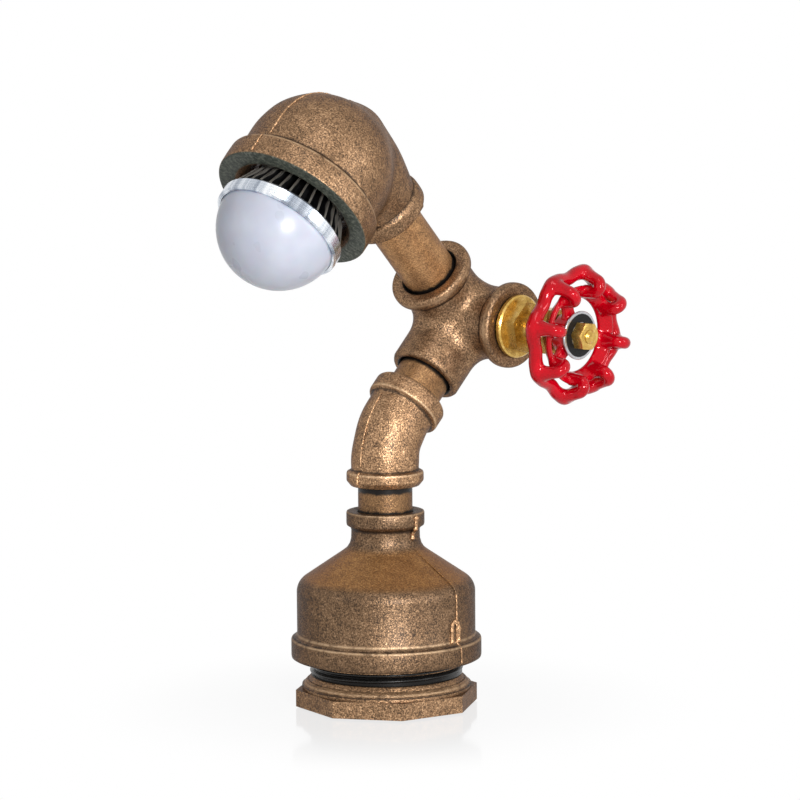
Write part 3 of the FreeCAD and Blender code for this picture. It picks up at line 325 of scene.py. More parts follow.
def bronze_paint(name, cast=1.0, bare=(), thread_and_shade_mouths=(), rubbed_and_lit=(), shaded_hollows=(), lit_slopes=(), shade=1.0):
    """Bronze paint over rough iron: gold on the grains' tops and dark between them. cast is how
    rough the casting is. shade is painted light and shade: it makes this fitting's copy of the one
    bronze paint lighter or darker as light falls on it.
    bare holds (matrix, height): end faces of unpainted grey iron.
    mouths holds (matrix, radius, height): black thread inside radius beyond height, with painted
    shade in the opening.
    worn holds (matrix, radius, height): edges where the paint is rubbed to gold, partly painted
    highlight.
    dirt holds (matrix, radius, height, width): painted shade in hollows, as dark brown.
    slopes holds (matrix, low, high): painted light, a smooth brighter gold between two heights."""
    paint = Paint(name)
    coarse = paint.noise(14.0, 2.0)
    clouds = paint.noise(3.2, 2.0)
    grains = paint.noise(0.62, 2.0, 0.6)
    tone = grains * 0.70 + clouds * 0.18 + coarse * 0.12
    colour = paint.ramp(tone, CAST_TONES, shade)
    rough = grains.smooth(0.35, 0.7, *BRONZE_ROUGH)
    metal = grains.smooth(0.3, 0.6, 0.60, 0.85)
    lumps = paint.bump(clouds * 0.5 + coarse * 0.5, 0.55 * cast, 0.8)
    normal = paint.bump(grains, 0.19 * cast, 1.0, lumps)
    # Painted light: between the two heights the colour is a brighter, smoother gold, where the surface
    # faces up to the light.
    for matrix, low, high in lit_slopes:
        height = paint.local(matrix)[2]
        cover = height.smooth(low, low + 3.0) * height.smooth(high, high - 3.0)
        colour = paint.mix(cover, colour, paint.ramp(tone, LIT_SLOPE_TONES))
    # Painted shade: rings in hollows are mixed toward dark brown.
    if shaded_hollows:
        cover = ring_cover(paint, shaded_hollows, (clouds - 0.5) * 1.4, 0.25)
        colour = paint.mix(cover * 0.78, colour, HOLLOW_SHADE_BROWN)
    # Rings of rubbed gold along edges, partly a painted highlight where the edges catch light.
    if rubbed_and_lit:
        rings = [(*ring, RUBBED_AND_LIT_WIDTH) for ring in rubbed_and_lit]
        cover = ring_cover(paint, rings, (grains - 0.5) * 1.8, 0.2) * clouds.smooth(0.22, 0.55)
        colour = paint.mix(cover * 0.5, colour, paint.two_tone(grains, (190, 150, 108), (244, 216, 180)))
    if bare:
        cover = either([(paint.local(matrix)[2] - level).smooth(-0.35, 0.05) for matrix, level in bare])
        chips = paint.noise(1.3, 4.0, 0.7)
        colour = paint.mix(cover, colour, paint.ramp(chips, IRON_TONES))
        rough = rough + cover * 0.25
        metal = metal * (1.0 - cover * 0.9)
    # Black bare thread inside the fittings' openings, darkened as painted shade too.
    if thread_and_shade_mouths:
        covers = []
        for matrix, radius, level in thread_and_shade_mouths:
            out, along = reach_of(paint, matrix)
            covers.append(out.smooth(radius + 0.3, radius - 0.1) * along.smooth(level - 0.2, level + 0.2))
        cover = either(covers)
        colour = paint.mix(cover, colour, THREAD_AND_SHADE_DARK)
        rough = rough * (1.0 - cover * 0.3)
        metal = metal * (1.0 - cover * 0.8)
    return paint.finish(Base_Color=colour, Roughness=rough, Metallic=metal, Normal=normal, **BRONZE_COAT)


def pipe_paint(name, matrix, low, high, fade=1.5, shade=1.45):
    """Bronze paint on drawn pipe, finer than on the castings. It is dark below low and above high,
    where the pipe enters a fitting, over a length of fade: bare thread and painted shade. shade makes
    this pipe's copy of the paint lighter or darker as painted light and shade."""
    paint = Paint(name)
    broad = paint.noise(9.0, 2.0)
    clouds = paint.noise(2.2, 2.0)
    grains = paint.noise(0.55, 2.0, 0.6)
    colour = paint.ramp(grains * 0.6 + clouds * 0.2 + broad * 0.2, PIPE_TONES, shade)
    along = paint.local(matrix)[2] + (clouds - 0.5) * 1.6
    # Bare black thread with painted shade at both ends, where the pipe goes into a fitting.
    ends = either([along.smooth(low + fade, low + 0.1), along.smooth(high - fade, high - 0.1)])
    colour = paint.mix(ends, colour, PIPE_END_THREAD_AND_SHADE)
    return paint.finish(Base_Color=colour, Roughness=grains.smooth(0.35, 0.7, *BRONZE_ROUGH),
                        Metallic=0.7 - ends * 0.55, Normal=paint.bump(grains, 0.17, 1.0), **BRONZE_COAT)


def red_enamel():
    """Glossy red enamel over a slightly uneven casting."""
    paint = Paint("red_enamel")
    broad = paint.noise(10.0, 2.0)
    fine = paint.noise(0.5, 3.0)
    colour = paint.ramp(broad * 0.7 + fine * 0.3, [
        (0.3, (150, 0, 12)), (0.5, (180, 1, 20)), (0.75, (200, 4, 28))])
    normal = paint.bump(fine, 0.01, 0.3, paint.bump(paint.noise(3.0, 2.0), 0.16, 0.6))
    return paint.finish(Base_Color=colour, Roughness=broad.smooth(0.3, 0.7, 0.07, 0.13),
                        Metallic=0.0, Specular_IOR_Level=0.5, Specular_Tint=(1.0, 0.42, 0.44),
                        Normal=normal)


def worn_brass():
    """Yellow brass, machined and handled: patches from brown to bright over a broad noise."""
    paint = Paint("worn_brass")
    broad = paint.noise(3.0, 4.0, 0.65)
    fine = paint.noise(0.3, 3.0)
    colour = paint.ramp(broad * 0.8 + fine * 0.2, [
        (0.34, (150, 114, 54)), (0.42, (188, 150, 74)), (0.56, (212, 174, 92)),
        (0.70, (242, 214, 148))])
    return paint.finish(Base_Color=colour, Roughness=broad.smooth(0.3, 0.7, 0.36, 0.20), Metallic=0.8,
                        Normal=paint.bump(fine, 0.04, 0.6, paint.bump(broad, 0.12, 0.5)))


def disc_enamel(matrix):
    """Name disc left bare: black enamel field inside a bright turned rim and round a bright middle."""
    paint = Paint("disc_enamel")
    grains = paint.noise(0.35, 3.0)
    edge = reach_of(paint, matrix)[0] + (grains - 0.5) * 0.25
    field = edge.smooth(8.55, 8.35) * edge.smooth(5.0, 5.2)
    bright = paint.two_tone(grains, (160, 160, 164), (216, 216, 220))
    black = paint.two_tone(grains, (18, 18, 20), (38, 37, 38))
    return paint.finish(Base_Color=paint.mix(field, bright, black), Metallic=1.0 - field * 0.9,
                        Roughness=grains.smooth(0.3, 0.7, 0.26, 0.36), Specular_IOR_Level=0.12,
                        Normal=paint.bump(1.0 - field, 0.06, 0.8, paint.bump(grains, 0.01, 0.5)))


def bright_aluminium(matrix):
    """Turned aluminium: fine rings about the fitting's Z axis, and painted reflections: light and dark
    blue-grey bands that change round it.
    """
    paint = Paint("ring_aluminium")
    x, y, z = paint.local(matrix)
    radius = (x * x + y * y).power(0.5)
    rings = paint.node("ShaderNodeCombineXYZ", X=radius, Y=z * 3.0)
    marks = paint.noise_over(rings.outputs[0], 6.0, 2.0)
    # Painted reflections: bands from blue-grey to white round the ring stand in for the mirrored
    # surroundings.
    around = paint.node("ShaderNodeCombineXYZ", X=x / radius, Y=y / radius)
    painted_reflection = paint.noise_over(around.outputs[0], 3.4, 3.0, 0.65)
    colour = paint.ramp(marks * 0.35 + painted_reflection * 0.65, [
        (0.36, (112, 120, 132)), (0.46, (168, 176, 188)), (0.54, (214, 220, 228)),
        (0.62, (246, 248, 250))])
    return paint.finish(Base_Color=colour, Roughness=marks.smooth(0.3, 0.7, 0.16, 0.28), Metallic=0.85,
                        Normal=paint.bump(marks, 0.01, 0.6))


def black_fins(matrix):
    """Black anodised fins whose outer edges are turned bright."""
    paint = Paint("black_fins")
    radius, along = reach_of(paint, matrix)
    # The fins' outer radius rises in two steps with the distance from the cap.
    envelope = along.smooth(26.0, 33.5, 15.0, 20.6) + along.smooth(33.0, 41.2, 0.0, 3.7)
    edge = (radius - envelope).smooth(-0.7, -0.25)
    grains = paint.noise(0.6, 2.0)
    dark = paint.two_tone(grains, (10, 10, 11), (26, 26, 28))
    colour = paint.mix(edge * 0.85, dark, rgb(205, 200, 190))
    return paint.finish(Base_Color=colour, Roughness=grains.smooth(0.3, 0.7, 0.34, 0.46),
                        Metallic=edge * 0.6 + 0.3, Normal=paint.bump(grains, 0.02, 0.5))


def plain(name, low, high, size=1.5, rough=(0.4, 0.6), metallic=0.0, depth=0.03):
    """A material between two sRGB colours by noise of one grain size."""
    paint = Paint(name)
    grains = paint.noise(size, 3.0)
    return paint.finish(Base_Color=paint.two_tone(grains, low, high), Metallic=metallic,
                        Roughness=grains.smooth(0.3, 0.7, *rough), Normal=paint.bump(grains, depth, 0.6))


def opal_dome():
    """Milky plastic with a satin skin."""
    paint = Paint("opal_dome")
    clouds = paint.noise(14.0, 2.0)
    colour = paint.two_tone(clouds, (178, 182, 196), (192, 195, 207))
    return paint.finish(Base_Color=colour, Roughness=clouds.smooth(0.3, 0.7, 0.26, 0.34), Metallic=0.0,
                        Normal=paint.bump(paint.noise(0.4, 2.0), 0.004, 0.3), Subsurface_Weight=0.25,
                        Subsurface_Scale=0.004)


THREAD_BLACK = plain("thread_black", (8, 8, 9), (28, 27, 26), 0.7, (0.22, 0.4), 0.4, 0.04)

# Each fitting's shade is painted light and shade: its copy of the one bronze paint is made lighter or
# darker as light falls on it. The gold edge rings are partly painted highlight, the dark hollow rings are
# painted shade, and the socket's cone is painted lighter.
bushing_paint = bronze_paint("bronze_bushing", cast=1.3, shade=1.25, thread_and_shade_mouths=[(BASE, 29.4, 12.2)],
                             rubbed_and_lit=[(BASE, 32.0, 9.3), (BASE, 31.0, 10.0)], shaded_hollows=[(BASE, 33.3, 8.5, 0.6)])
socket_paint = bronze_paint("bronze_socket", shade=0.75, thread_and_shade_mouths=[(BASE, 11.1, 76.4), (INLET, 4.2, -4.0)],
                            rubbed_and_lit=[(BASE, 37.35, 26.8), (BASE, 35.3, 28.7), (BASE, 15.3, 76.9)],
                            shaded_hollows=[(BASE, 36.6, 27.5, 0.55), (BASE, 13.4, 70.3, 1.1)],
                            lit_slopes=[(BASE, 49.0, 64.0)])
# The seam ridges' paint is made two and a half times as bright: a painted highlight along the raised
# parting lines.
seam_highlight_paint = bronze_paint("bronze_seam_highlight", cast=0.4, shade=2.5)
elbow_paint = bronze_paint("bronze_elbow", shade=1.6,
                           thread_and_shade_mouths=[(TILTED, 11.3, 19.0), (ELBOW_FOOT, 11.3, 17.8)],
                           rubbed_and_lit=[(TILTED, 14.9, 20.4), (TILTED, 15.0, 14.0), (ELBOW_FOOT, 15.0, 14.0)],
                           shaded_hollows=[(TILTED, 13.4, 12.9, 0.9), (ELBOW_FOOT, 13.4, 12.9, 0.8)])
corner_paint = bronze_paint("bronze_corner", shade=1.25,
                            thread_and_shade_mouths=[(UPPER, 11.8, 26.6), (CORNER_FOOT, 11.8, 28.4), (PORT, 11.8, 26.6)],
                            rubbed_and_lit=[(UPPER, 16.4, 26.4), (PORT, 16.4, 26.4)],
                            shaded_hollows=[(UPPER, 14.4, 22.4, 1.3), (PORT, 14.4, 22.4, 1.3)])
head_paint = bronze_paint("bronze_head", shade=1.25, bare=[(MOUTH, 34.45)], thread_and_shade_mouths=[(BRANCH, 11.3, 41.0)],
                          rubbed_and_lit=[(HEAD, 31.6, -25.6)],
                          shaded_hollows=[(HEAD, 28.9, -23.7, 0.9), (BRANCH, 14.8, 35.2, 1.0)])

LEADS = ("base_lead", "neck_lead", "arm_lead", "pipe_lead", "head_lead")
BRASS_NODES = ("valve_bonnet", "packing_nut", "switch_nut", "shaft_coupler", "valve_stem", "wheel_nut",
               "holder_sleeve", "holder_contact", "holder_terminals")
STEEL_NODES = ("terminal_screws", "switch_spindle", "retaining_ring", "cap_contact", "cap_shell")

NODE_MATERIALS = {
    **dict.fromkeys(LEADS, plain("lead_sheath", (60, 60, 62), (84, 84, 86), 2.0, (0.45, 0.6))),
    **dict.fromkeys(BRASS_NODES, worn_brass()),
    **dict.fromkeys(STEEL_NODES, plain("plated_steel", (150, 150, 150), (205, 206, 208), 0.8,
                                       (0.2, 0.35), 1.0, 0.01)),
    "octagon_bushing": bushing_paint,
    "foot_pad": plain("foot_rubber", (14, 14, 14), (30, 30, 30), 0.9, (0.7, 0.85), 0.0, 0.05),
    "reducing_socket": socket_paint,
    "cable_grommet": plain("grommet_rubber", (16, 16, 17), (34, 34, 35), 0.7, (0.55, 0.7)),
    "terminal_block": plain("nylon_white", (205, 203, 195), (228, 226, 218), 2.0, (0.4, 0.5)),
    # The pipes' shade values make lit and shaded copies of one pipe paint; their dark ends are black
    # thread with painted shade.
    "lower_nipple": pipe_paint("bronze_pipe_lower", BASE, 77.0, 85.2, fade=1.2, shade=1.05),
    "elbow_45": elbow_paint,
    "middle_nipple": pipe_paint("bronze_pipe_middle", TILTED, 20.8, 30.6),
    "corner_fitting": corner_paint,
    "upper_pipe": pipe_paint("bronze_pipe_upper", UPPER, 28.4, 62.8, shade=1.9),
    "gland_packing": plain("packing_white", (215, 214, 208), (236, 235, 230), 0.5, (0.5, 0.6)),
    "rotary_switch": plain("switch_black", (18, 18, 19), (34, 34, 36), 1.2, (0.35, 0.5)),
    "handwheel": red_enamel(),
    "name_disc": disc_enamel(WHEEL),
    "head_elbow": head_paint,
    "lampholder_body": plain("ceramic_white", (214, 210, 200), (232, 229, 220), 4.0, (0.15, 0.25)),
    "cap_insulator": plain("insulator_black", (16, 16, 18), (30, 30, 34), 1.0, (0.2, 0.3)),
    "heat_sink": black_fins(MOUTH),
    "trim_ring": bright_aluminium(MOUTH),
    "diffuser_dome": opal_dome(),
    "led_board": plain("board_white", (222, 222, 218), (238, 238, 234), 1.5, (0.4, 0.5)),
    "led_driver": plain("board_green", (20, 74, 40), (34, 98, 56), 1.5, (0.4, 0.5)),
}

for node, material in NODE_MATERIALS.items():
    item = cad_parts[node]
    item.data.materials.clear()
    item.data.materials.append(material)
    item.data.polygons.foreach_set("material_index", np.zeros(len(item.data.polygons), dtype=np.int32))


# ---- two-inch thread of the bushing

def helix_thread(name, place, body, low, high, root, crest, pitch, material):
    """A thread wound on a cylinder. Point (a, s) lies at angle 2 pi a, height low + pitch a + offset(s)
    and radius root or crest; the crest fades to the root over the first and last sixth of a turn."""
    turns = (high - low) / pitch
    steps = int(turns * 96)
    a = np.linspace(0.0, turns, steps)
    fade = np.clip(np.minimum(a, turns - a) * 6.0, 0.0, 1.0)
    offsets = np.array([-0.42, -0.12, 0.12, 0.42]) * pitch
    tops = np.array([0.0, 1.0, 1.0, 0.0])
    radius = root + (crest - root) * tops[None, :] * fade[:, None]
    height = low + pitch * a[:, None] + offsets[None, :]
    angle = 2 * np.pi * a[:, None]
    points = np.stack([radius * np.cos(angle), radius * np.sin(angle), height], -1)
    faces = grid_faces(steps, 4, wrap_columns=False)
    mesh_object(name, points.reshape(-1, 3), faces[:, ::-1], place, body, material)


helix_thread("bushing_thread", BASE, "base", low=12.6, high=20.6, root=28.6, crest=30.1, pitch=2.31,
             material=THREAD_BLACK)

# ---- turned and swept surfaces

TURNED_SIDES = 240
BAND_SIDES = 150


def rounded(corners, radius, steps=5):
    """Open polyline (n, 2) whose inner corners are rounded: each corner P becomes the quadratic
    curve from P + a to P + b, where a and b point to its neighbours and are at most radius long."""
    points = np.array(corners, float)
    result = [points[:1]]
    t = np.linspace(0, 1, steps)[:, None]
    for before, here, after in zip(points, points[1:], points[2:]):
        back, on = before - here, after - here
        a = here + back * min(radius / np.linalg.norm(back), 0.45)
        b = here + on * min(radius / np.linalg.norm(on), 0.45)
        result.append((1 - t) ** 2 * a + 2 * t * (1 - t) * here + t ** 2 * b)
    result.append(points[-1:])
    return np.concatenate(result)


def lathe(profile, sides, axis="z"):
    """Points and quads of a profile (r, h) turned about an axis: (r cos q, r sin q, h) for z and
    (r sin q, h, r cos q) for y, with q over a full turn."""
    q = np.arange(sides) * 2 * np.pi / sides
    r, h = profile[:, 0:1], profile[:, 1:2] + 0 * q[None, :]
    if axis == "z":
        points = np.stack([r * np.cos(q), r * np.sin(q), h], -1)
    else:
        points = np.stack([r * np.sin(q), h, r * np.cos(q)], -1)
    return points.reshape(-1, 3), grid_faces(len(profile), sides)


def sweep(path, side, up, wide, high, sides=18, closed=False, power=2.0):
    """Superellipse swept along path (n, 3): path + wide * c * side + high * s * up, where c and s
    are the signed powers 2 / power of cosine and sine. wide and high are per path point."""
    q = np.arange(sides) * 2 * np.pi / sides
    c = np.sign(np.cos(q)) * np.abs(np.cos(q)) ** (2 / power)
    s = np.sign(np.sin(q)) * np.abs(np.sin(q)) ** (2 / power)
    points = (path[:, None] + side[:, None] * (wide[:, None] * c)[..., None]
              + up[:, None] * (high[:, None] * s)[..., None])
    faces = grid_faces(len(path), sides, wrap_rows=closed)
    if closed:
        return points.reshape(-1, 3), faces
    ends = np.stack([path[0], path[-1]])
    first = len(path) * sides
    k = np.arange(sides)
    after = (k + 1) % sides
    last = (len(path) - 1) * sides
    caps = np.concatenate([
        np.stack([k, np.full(sides, first), np.full(sides, first), after], -1),
        np.stack([last + after, np.full(sides, first + 1), np.full(sides, first + 1), last + k], -1)])
    points = np.concatenate([points.reshape(-1, 3), ends])
    return points, np.concatenate([faces, caps])


def spun(points, degrees):
    """Points turned about Z."""
    a = math.radians(degrees)
    turn = np.array([[math.cos(a), -math.sin(a), 0], [math.sin(a), math.cos(a), 0], [0, 0, 1]])
    return points @ turn.T


def moved(piece, matrix):
    """A (points, faces) pair taken from one frame to another."""
    points, faces = piece
    return points @ np.array(matrix.to_3x3()).T + np.array(matrix.translation), faces


def joined(pieces):
    """Several (points, faces) pairs as one."""
    shift = np.cumsum([0] + [len(points) for points, faces in pieces[:-1]])
    return (np.concatenate([points for points, faces in pieces]),
            np.concatenate([faces + start for (points, faces), start in zip(pieces, shift)]))


def blend(first, second, width):
    """Smooth maximum: max(a, b) + w h h / 4 with h = max(1 - |a - b| / w, 0)."""
    h = np.clip(1 - np.abs(first - second) / width, 0, 1)
    return np.maximum(first, second) + width * h * h / 4


def knit(item, voxel, rounds):
    """Joins the crossing forms of an object into one skin and evens it out. voxel is in millimetres."""
    grid = item.modifiers.new("one_skin", "REMESH")
    grid.mode = "VOXEL"
    grid.voxel_size = voxel * MM
    grid.use_smooth_shade = True
    even = item.modifiers.new("even", "SMOOTH")
    even.factor = 0.5
    even.iterations = rounds


# ---- handwheel

def build_handwheel():
    """Rim, hoops, inner ring, spokes and hub as one casting. The rim's middle line is the rounded
    octagon r = a (sum over its four normals of |cos(q - n)| ^ 34) ^ (-1 / 34), and the rim thickens
    at its corners, where the hoops leave it."""
    face = DISC_DISTANCE
    flat, squareness = 23.1, 34
    normals = np.radians([22.5, 67.5, 112.5, 157.5])
    q = np.linspace(0, 2 * np.pi, 320, endpoint=False)
    radius = flat * (np.abs(np.cos(q[:, None] - normals)) ** squareness).sum(1) ** (-1 / squareness)
    sector = np.pi / 4
    node = (q + sector / 2) % sector - sector / 2
    near = np.exp(-(node / 0.19) ** 2)
    radius -= 0.8 * np.clip(-np.cos(8 * q), 0, 1) ** 1.5
    rim_line = np.stack([radius * np.cos(q), radius * np.sin(q), face - 3.8 + 0.5 * near], -1)
    outward = np.stack([np.cos(q), np.sin(q), 0 * q], -1)
    forward = np.zeros_like(outward)
    forward[:, 2] = 1.0
    size = 2.7 + 0.45 * near
    forms = [sweep(rim_line, forward, outward, size, size, 20, closed=True)]

    t = np.radians(np.linspace(180.0, 18.5, 26))
    head = np.stack([19.6 + 2.5 * np.cos(t), face + 3.1 + 2.5 * np.sin(t)], -1)
    inner = np.linspace((17.1, face - 1.6), head[0], 12)[:-1]
    outer = np.linspace(head[-1], (24.4, face - 3.5), 18)[1:]
    line = np.concatenate([inner, head, outer])
    run = np.gradient(line, axis=0)
    run /= np.linalg.norm(run, axis=1, keepdims=True)
    hoop_line = np.stack([line[:, 0], 0 * line[:, 0], line[:, 1]], -1)
    normal = np.stack([run[:, 1], 0 * run[:, 0], -run[:, 0]], -1)
    sideways = np.zeros_like(normal)
    sideways[:, 1] = 1.0
    s = np.linspace(0, 1, len(line))
    flare = 1.9 * np.clip((s - 0.70) / 0.30, 0, 1) ** 1.5 + 1.2 * np.clip((0.20 - s) / 0.20, 0, 1) ** 1.5
    hoop = sweep(hoop_line, normal, sideways, 2.4 + 0.3 * flare, 2.45 + flare, 20)
    forms += [(spun(hoop[0], 45 * k), hoop[1]) for k in range(8)]

    ring = rounded([(14.3, face - 3.0), (14.5, face - 4.3), (16.6, face - 4.4), (19.6, face - 0.6),
                    (19.3, face + 0.7), (17.5, face + 0.6), (14.3, face - 3.0)], 1.1)
    forms.append(lathe(ring, 160))

    s = np.linspace(0, 1, 16)
    arm = np.stack([0 * s, 6.0 + 9.4 * s, face - 4.4 + 0.5 * s], -1)
    splay = np.abs(2 * s - 1) ** 3
    right = np.tile([1.0, 0, 0], (len(s), 1))
    ahead = np.tile([0, 0, 1.0], (len(s), 1))
    spoke = sweep(arm, ahead, right, 1.8 + 0.5 * splay, 2.7 + 1.5 * splay, 20, power=3.0)
    forms += [(spun(spoke[0], 45 + 120 * k), spoke[1]) for k in range(3)]

    hub = rounded([(0.0, face - 8.7), (8.0, face - 8.7), (8.2, face - 4), (8.0, face - 0.75),
                   (0.0, face - 0.75)], 0.8)
    forms.append(lathe(hub, 72))
    points, faces = joined(forms)
    wheel = mesh_object("handwheel_casting", points, faces, WHEEL, "wheel", NODE_MATERIALS["handwheel"])
    knit(wheel, 0.4, 12)
    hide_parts("handwheel")


# ---- head elbow

LONGEST_RAY = 80.0
HALVINGS = 22


def ray_length(centre, rays, inside):
    """How far each ray runs from centre before it leaves a form, by halving an interval."""
    low = np.zeros(rays.shape[:-1])
    high = np.full(rays.shape[:-1], LONGEST_RAY)
    for _ in range(HALVINGS):
        middle = (low + high) / 2
        within = inside(centre + rays * middle[..., None])
        low = np.where(within, middle, low)
        high = np.where(within, high, middle)
    return low


def arc(start, finish, centre, count):
    """Points of the arc about centre from start to finish, all as (r, h)."""
    a0 = math.atan2(start[1] - centre[1], start[0] - centre[0])
    a1 = math.atan2(finish[1] - centre[1], finish[0] - centre[0])
    radius = math.dist(start, centre)
    a = np.linspace(a0, a1, count)
    return np.stack([centre[0] + radius * np.cos(a), centre[1] + radius * np.sin(a)], -1)


# The head's dome along Z, and its branch along Y: a ball, a slightly bulged taper and a straight end.
HEAD_SIDE = 28.8
HEAD_SHOULDER = -14.9
HEAD_LOW = -34.0
BALL = 18.45
BALL_PLACE = 4.7
TAPER_BULGE = 133.9
BRANCH_RADIUS = 15.0
BRANCH_FOOT = 34.9
BRANCH_END = 44.0
RAY_CENTRE = np.array([0.0, 3.0, -2.0])


def head_skin(a, b):
    """Skin of dome and branch along rays at angle a from the branch's axis and b round it. A ray leaves
    the dome and the branch at two distances. The skin is at their smooth maximum, whose width makes
    the hollow between the two wide below the branch and narrow above it."""
    crown = arc((HEAD_SIDE, HEAD_SHOULDER), (0.0, HEAD_SHOULDER + HEAD_SIDE), (0.0, HEAD_SHOULDER), 90)
    dome = np.concatenate([[(HEAD_SIDE, HEAD_LOW)], crown])
    nose = arc((0.0, BALL_PLACE - BALL), (BALL, BALL_PLACE), (0.0, BALL_PLACE), 60)
    taper = arc((BALL, BALL_PLACE), (BRANCH_RADIUS, BRANCH_FOOT), (BALL - TAPER_BULGE, BALL_PLACE), 40)
    branch = np.concatenate([nose, taper[1:], [(BRANCH_RADIUS, BRANCH_END)]])

    def within(outline, along, out):
        wide = out < np.interp(along, outline[:, 1], outline[:, 0])
        return wide & (along > outline[0, 1]) & (along < outline[-1, 1])

    def in_dome(p):
        return within(dome, p[..., 2], np.hypot(p[..., 0], p[..., 1]))

    def in_branch(p):
        return within(branch, p[..., 1], np.hypot(p[..., 0], p[..., 2]))

    rays = np.stack([np.sin(a) * np.cos(b), np.cos(a), np.sin(a) * np.sin(b)], -1)
    to_dome = ray_length(RAY_CENTRE, rays, in_dome)
    to_branch = ray_length(RAY_CENTRE, rays, in_branch)
    below = np.clip(-np.sin(a) * np.sin(b) * 1.6, 0, 1)
    beside = (np.sin(a) * np.cos(b)) ** 2
    reach = blend(to_dome, to_branch, 1.2 + 4.0 * beside + 8.0 * below)
    return RAY_CENTRE + rays * reach[..., None], rays


def build_head():
    """The reducing elbow: skin of dome and branch, with turned mouth band and small collar."""
    fine = np.linspace(0.37, math.pi, 900)
    spots, _ = head_skin(fine, np.full_like(fine, math.pi / 2))
    run = np.concatenate([[0], np.cumsum(np.linalg.norm(np.diff(spots, axis=0), axis=1))])
    angle = np.interp(np.linspace(0, run[-1], 230), run, fine)
    around = np.linspace(0, 2 * np.pi, 270, endpoint=False)
    a, b = np.meshgrid(angle, around, indexing="ij")
    skin, rays = head_skin(a, b)
    sway = (np.sin(skin[..., 0] * 0.31 + 1.0) * np.sin(skin[..., 1] * 0.27 + 2.0)
            * np.sin(skin[..., 2] * 0.29))
    skin = skin + rays * (0.16 * sway)[..., None]
    points = skin.reshape(-1, 3)
    faces = grid_faces(len(angle), len(around))
    band_top = -28.5
    faces = faces[points[faces][:, :, 2].max(1) > band_top]

    mouth = rounded([(28.5, -23.0), (29.0, -23.8), (31.6, -25.4), (31.7, -30.0), (31.6, -34.6),
                     (24.8, -34.6), (22.4, -32.6), (22.4, -20.0), (20.8, -20.0), (20.8, -17.0),
                     (24.6, -17.0), (24.6, -14.0), (17.5, 2.0), (8.0, 8.3), (0.0, 9.6)], 0.9)
    small = rounded([(14.0, 34.0), (15.0, 34.9), (16.2, 36.5), (16.25, 39.5), (16.2, 42.3), (11.5, 42.3),
                     (10.75, 41.3), (10.7, 30.0)], 1.0)
    band = lathe(mouth, 180)
    collar = lathe(small, 120, axis="y")
    points, faces = joined([(points, faces), (band[0], band[1][:, ::-1]), collar])
    head = mesh_object("head_elbow_casting", points, faces, HEAD, "head", head_paint)
    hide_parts("head_elbow")

    over = np.linspace(0.62, 3.72, 190)
    line, up = head_skin(over, np.full_like(over, math.pi / 2))
    ridge("head_seam", line, up, HEAD, "head", seam_highlight_paint, 0.42)
    band_line = np.array([(0.0, -29.1, -24.1), (0.0, -31.7, -25.9), (0.0, -31.8, -33.8)])
    ridge("head_band_seam", band_line, np.tile([0.0, -1.0, 0.0], (3, 1)), HEAD, "head", seam_highlight_paint, 0.36)


# ---- corner fitting and elbow

def build_corner():
    """The corner fitting: along a ray at cosine c and sine s to a port's axis the port ends at
    min(R / s, L / c). The skin is the smooth maximum of the three ports and the ball between them;
    the web between two ports is 20 c c' wide, so that it is widest in the plane of both axes."""
    tube, ball = 14.4, 14.9
    ports = [((0, -1, 0), 22.6), ((1, 0, 0), 22.6), ((0, 0, -1), 29.2)]
    rows, columns = 170, 240
    a, b = np.meshgrid(np.linspace(0.0, math.pi, rows),
                       np.linspace(0, 2 * np.pi, columns, endpoint=False), indexing="ij")
    rays = np.stack([np.sin(a) * np.cos(b), np.sin(a) * np.sin(b), np.cos(a)], -1)
    reach = np.zeros(a.shape)
    facing = np.zeros(a.shape)
    ended = np.zeros(a.shape, bool)
    for axis, length in ports:
        c = rays @ np.array(axis, float)
        s = np.sqrt(np.clip(1 - c * c, 1e-9, 1))
        side = tube / s
        end = length / np.clip(c, 1e-6, 1)
        web = np.clip(20.0 * facing * c, 0.2, 10.0)
        reach = blend(reach, np.where(c > 0, np.minimum(side, end), 0.0), web)
        facing = np.maximum(facing, np.clip(c, 0, 1))
        ended |= (c > 0) & (end < side)
    reach = blend(reach, np.full(a.shape, ball), 0.4)
    sway = (np.sin(rays[..., 0] * 5.1 + 1.0) * np.sin(rays[..., 1] * 4.3 + 2.0)
            * np.sin(rays[..., 2] * 4.7))
    points = (rays * (reach + 0.25 * sway)[..., None]).reshape(-1, 3)
    faces = grid_faces(rows, columns)[:, ::-1]
    faces = faces[~ended.ravel()[faces].all(1)]
    bead = rounded([(13.6, 19.0), (14.2, 21.0), (14.8, 22.8), (16.2, 23.6), (16.8, 24.6), (16.9, 26.2),
                    (16.7, 27.5), (16.0, 28.3), (14.8, 28.4), (12.0, 28.2), (11.6, 27.8), (10.7, 27.0),
                    (10.7, 12.0)], 0.7)
    plain_end = rounded([(13.6, 25.5), (14.3, 27.2), (14.35, 28.6), (13.9, 29.7), (12.9, 30.2),
                         (11.9, 30.2), (11.5, 29.9), (10.7, 29.0), (10.7, 12.0)], 0.7)
    ends = [(bead, "X", 90.0), (bead, "Y", 90.0), (plain_end, "X", 180.0)]
    bands = [moved(lathe(end, BAND_SIDES), turned(axis, degrees)) for end, axis, degrees in ends]
    points, faces = joined([(points, faces)] + bands)
    skin = mesh_object("corner_fitting_casting", points, faces, CORNER, "arm", corner_paint)
    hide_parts("corner_fitting")


ELBOW_TUBE = 13.2


def elbow_bend(count):
    """Angle, way back and height of points on the middle line of the elbow's bend, and the length of
    the bend's tangents."""
    bend, lean = 27.0, math.radians(ELBOW_LEAN)
    run = bend * math.tan(lean / 2)
    t = np.linspace(0, lean, count)
    return t, bend * (1 - np.cos(t)), bend * np.sin(t) - run, run


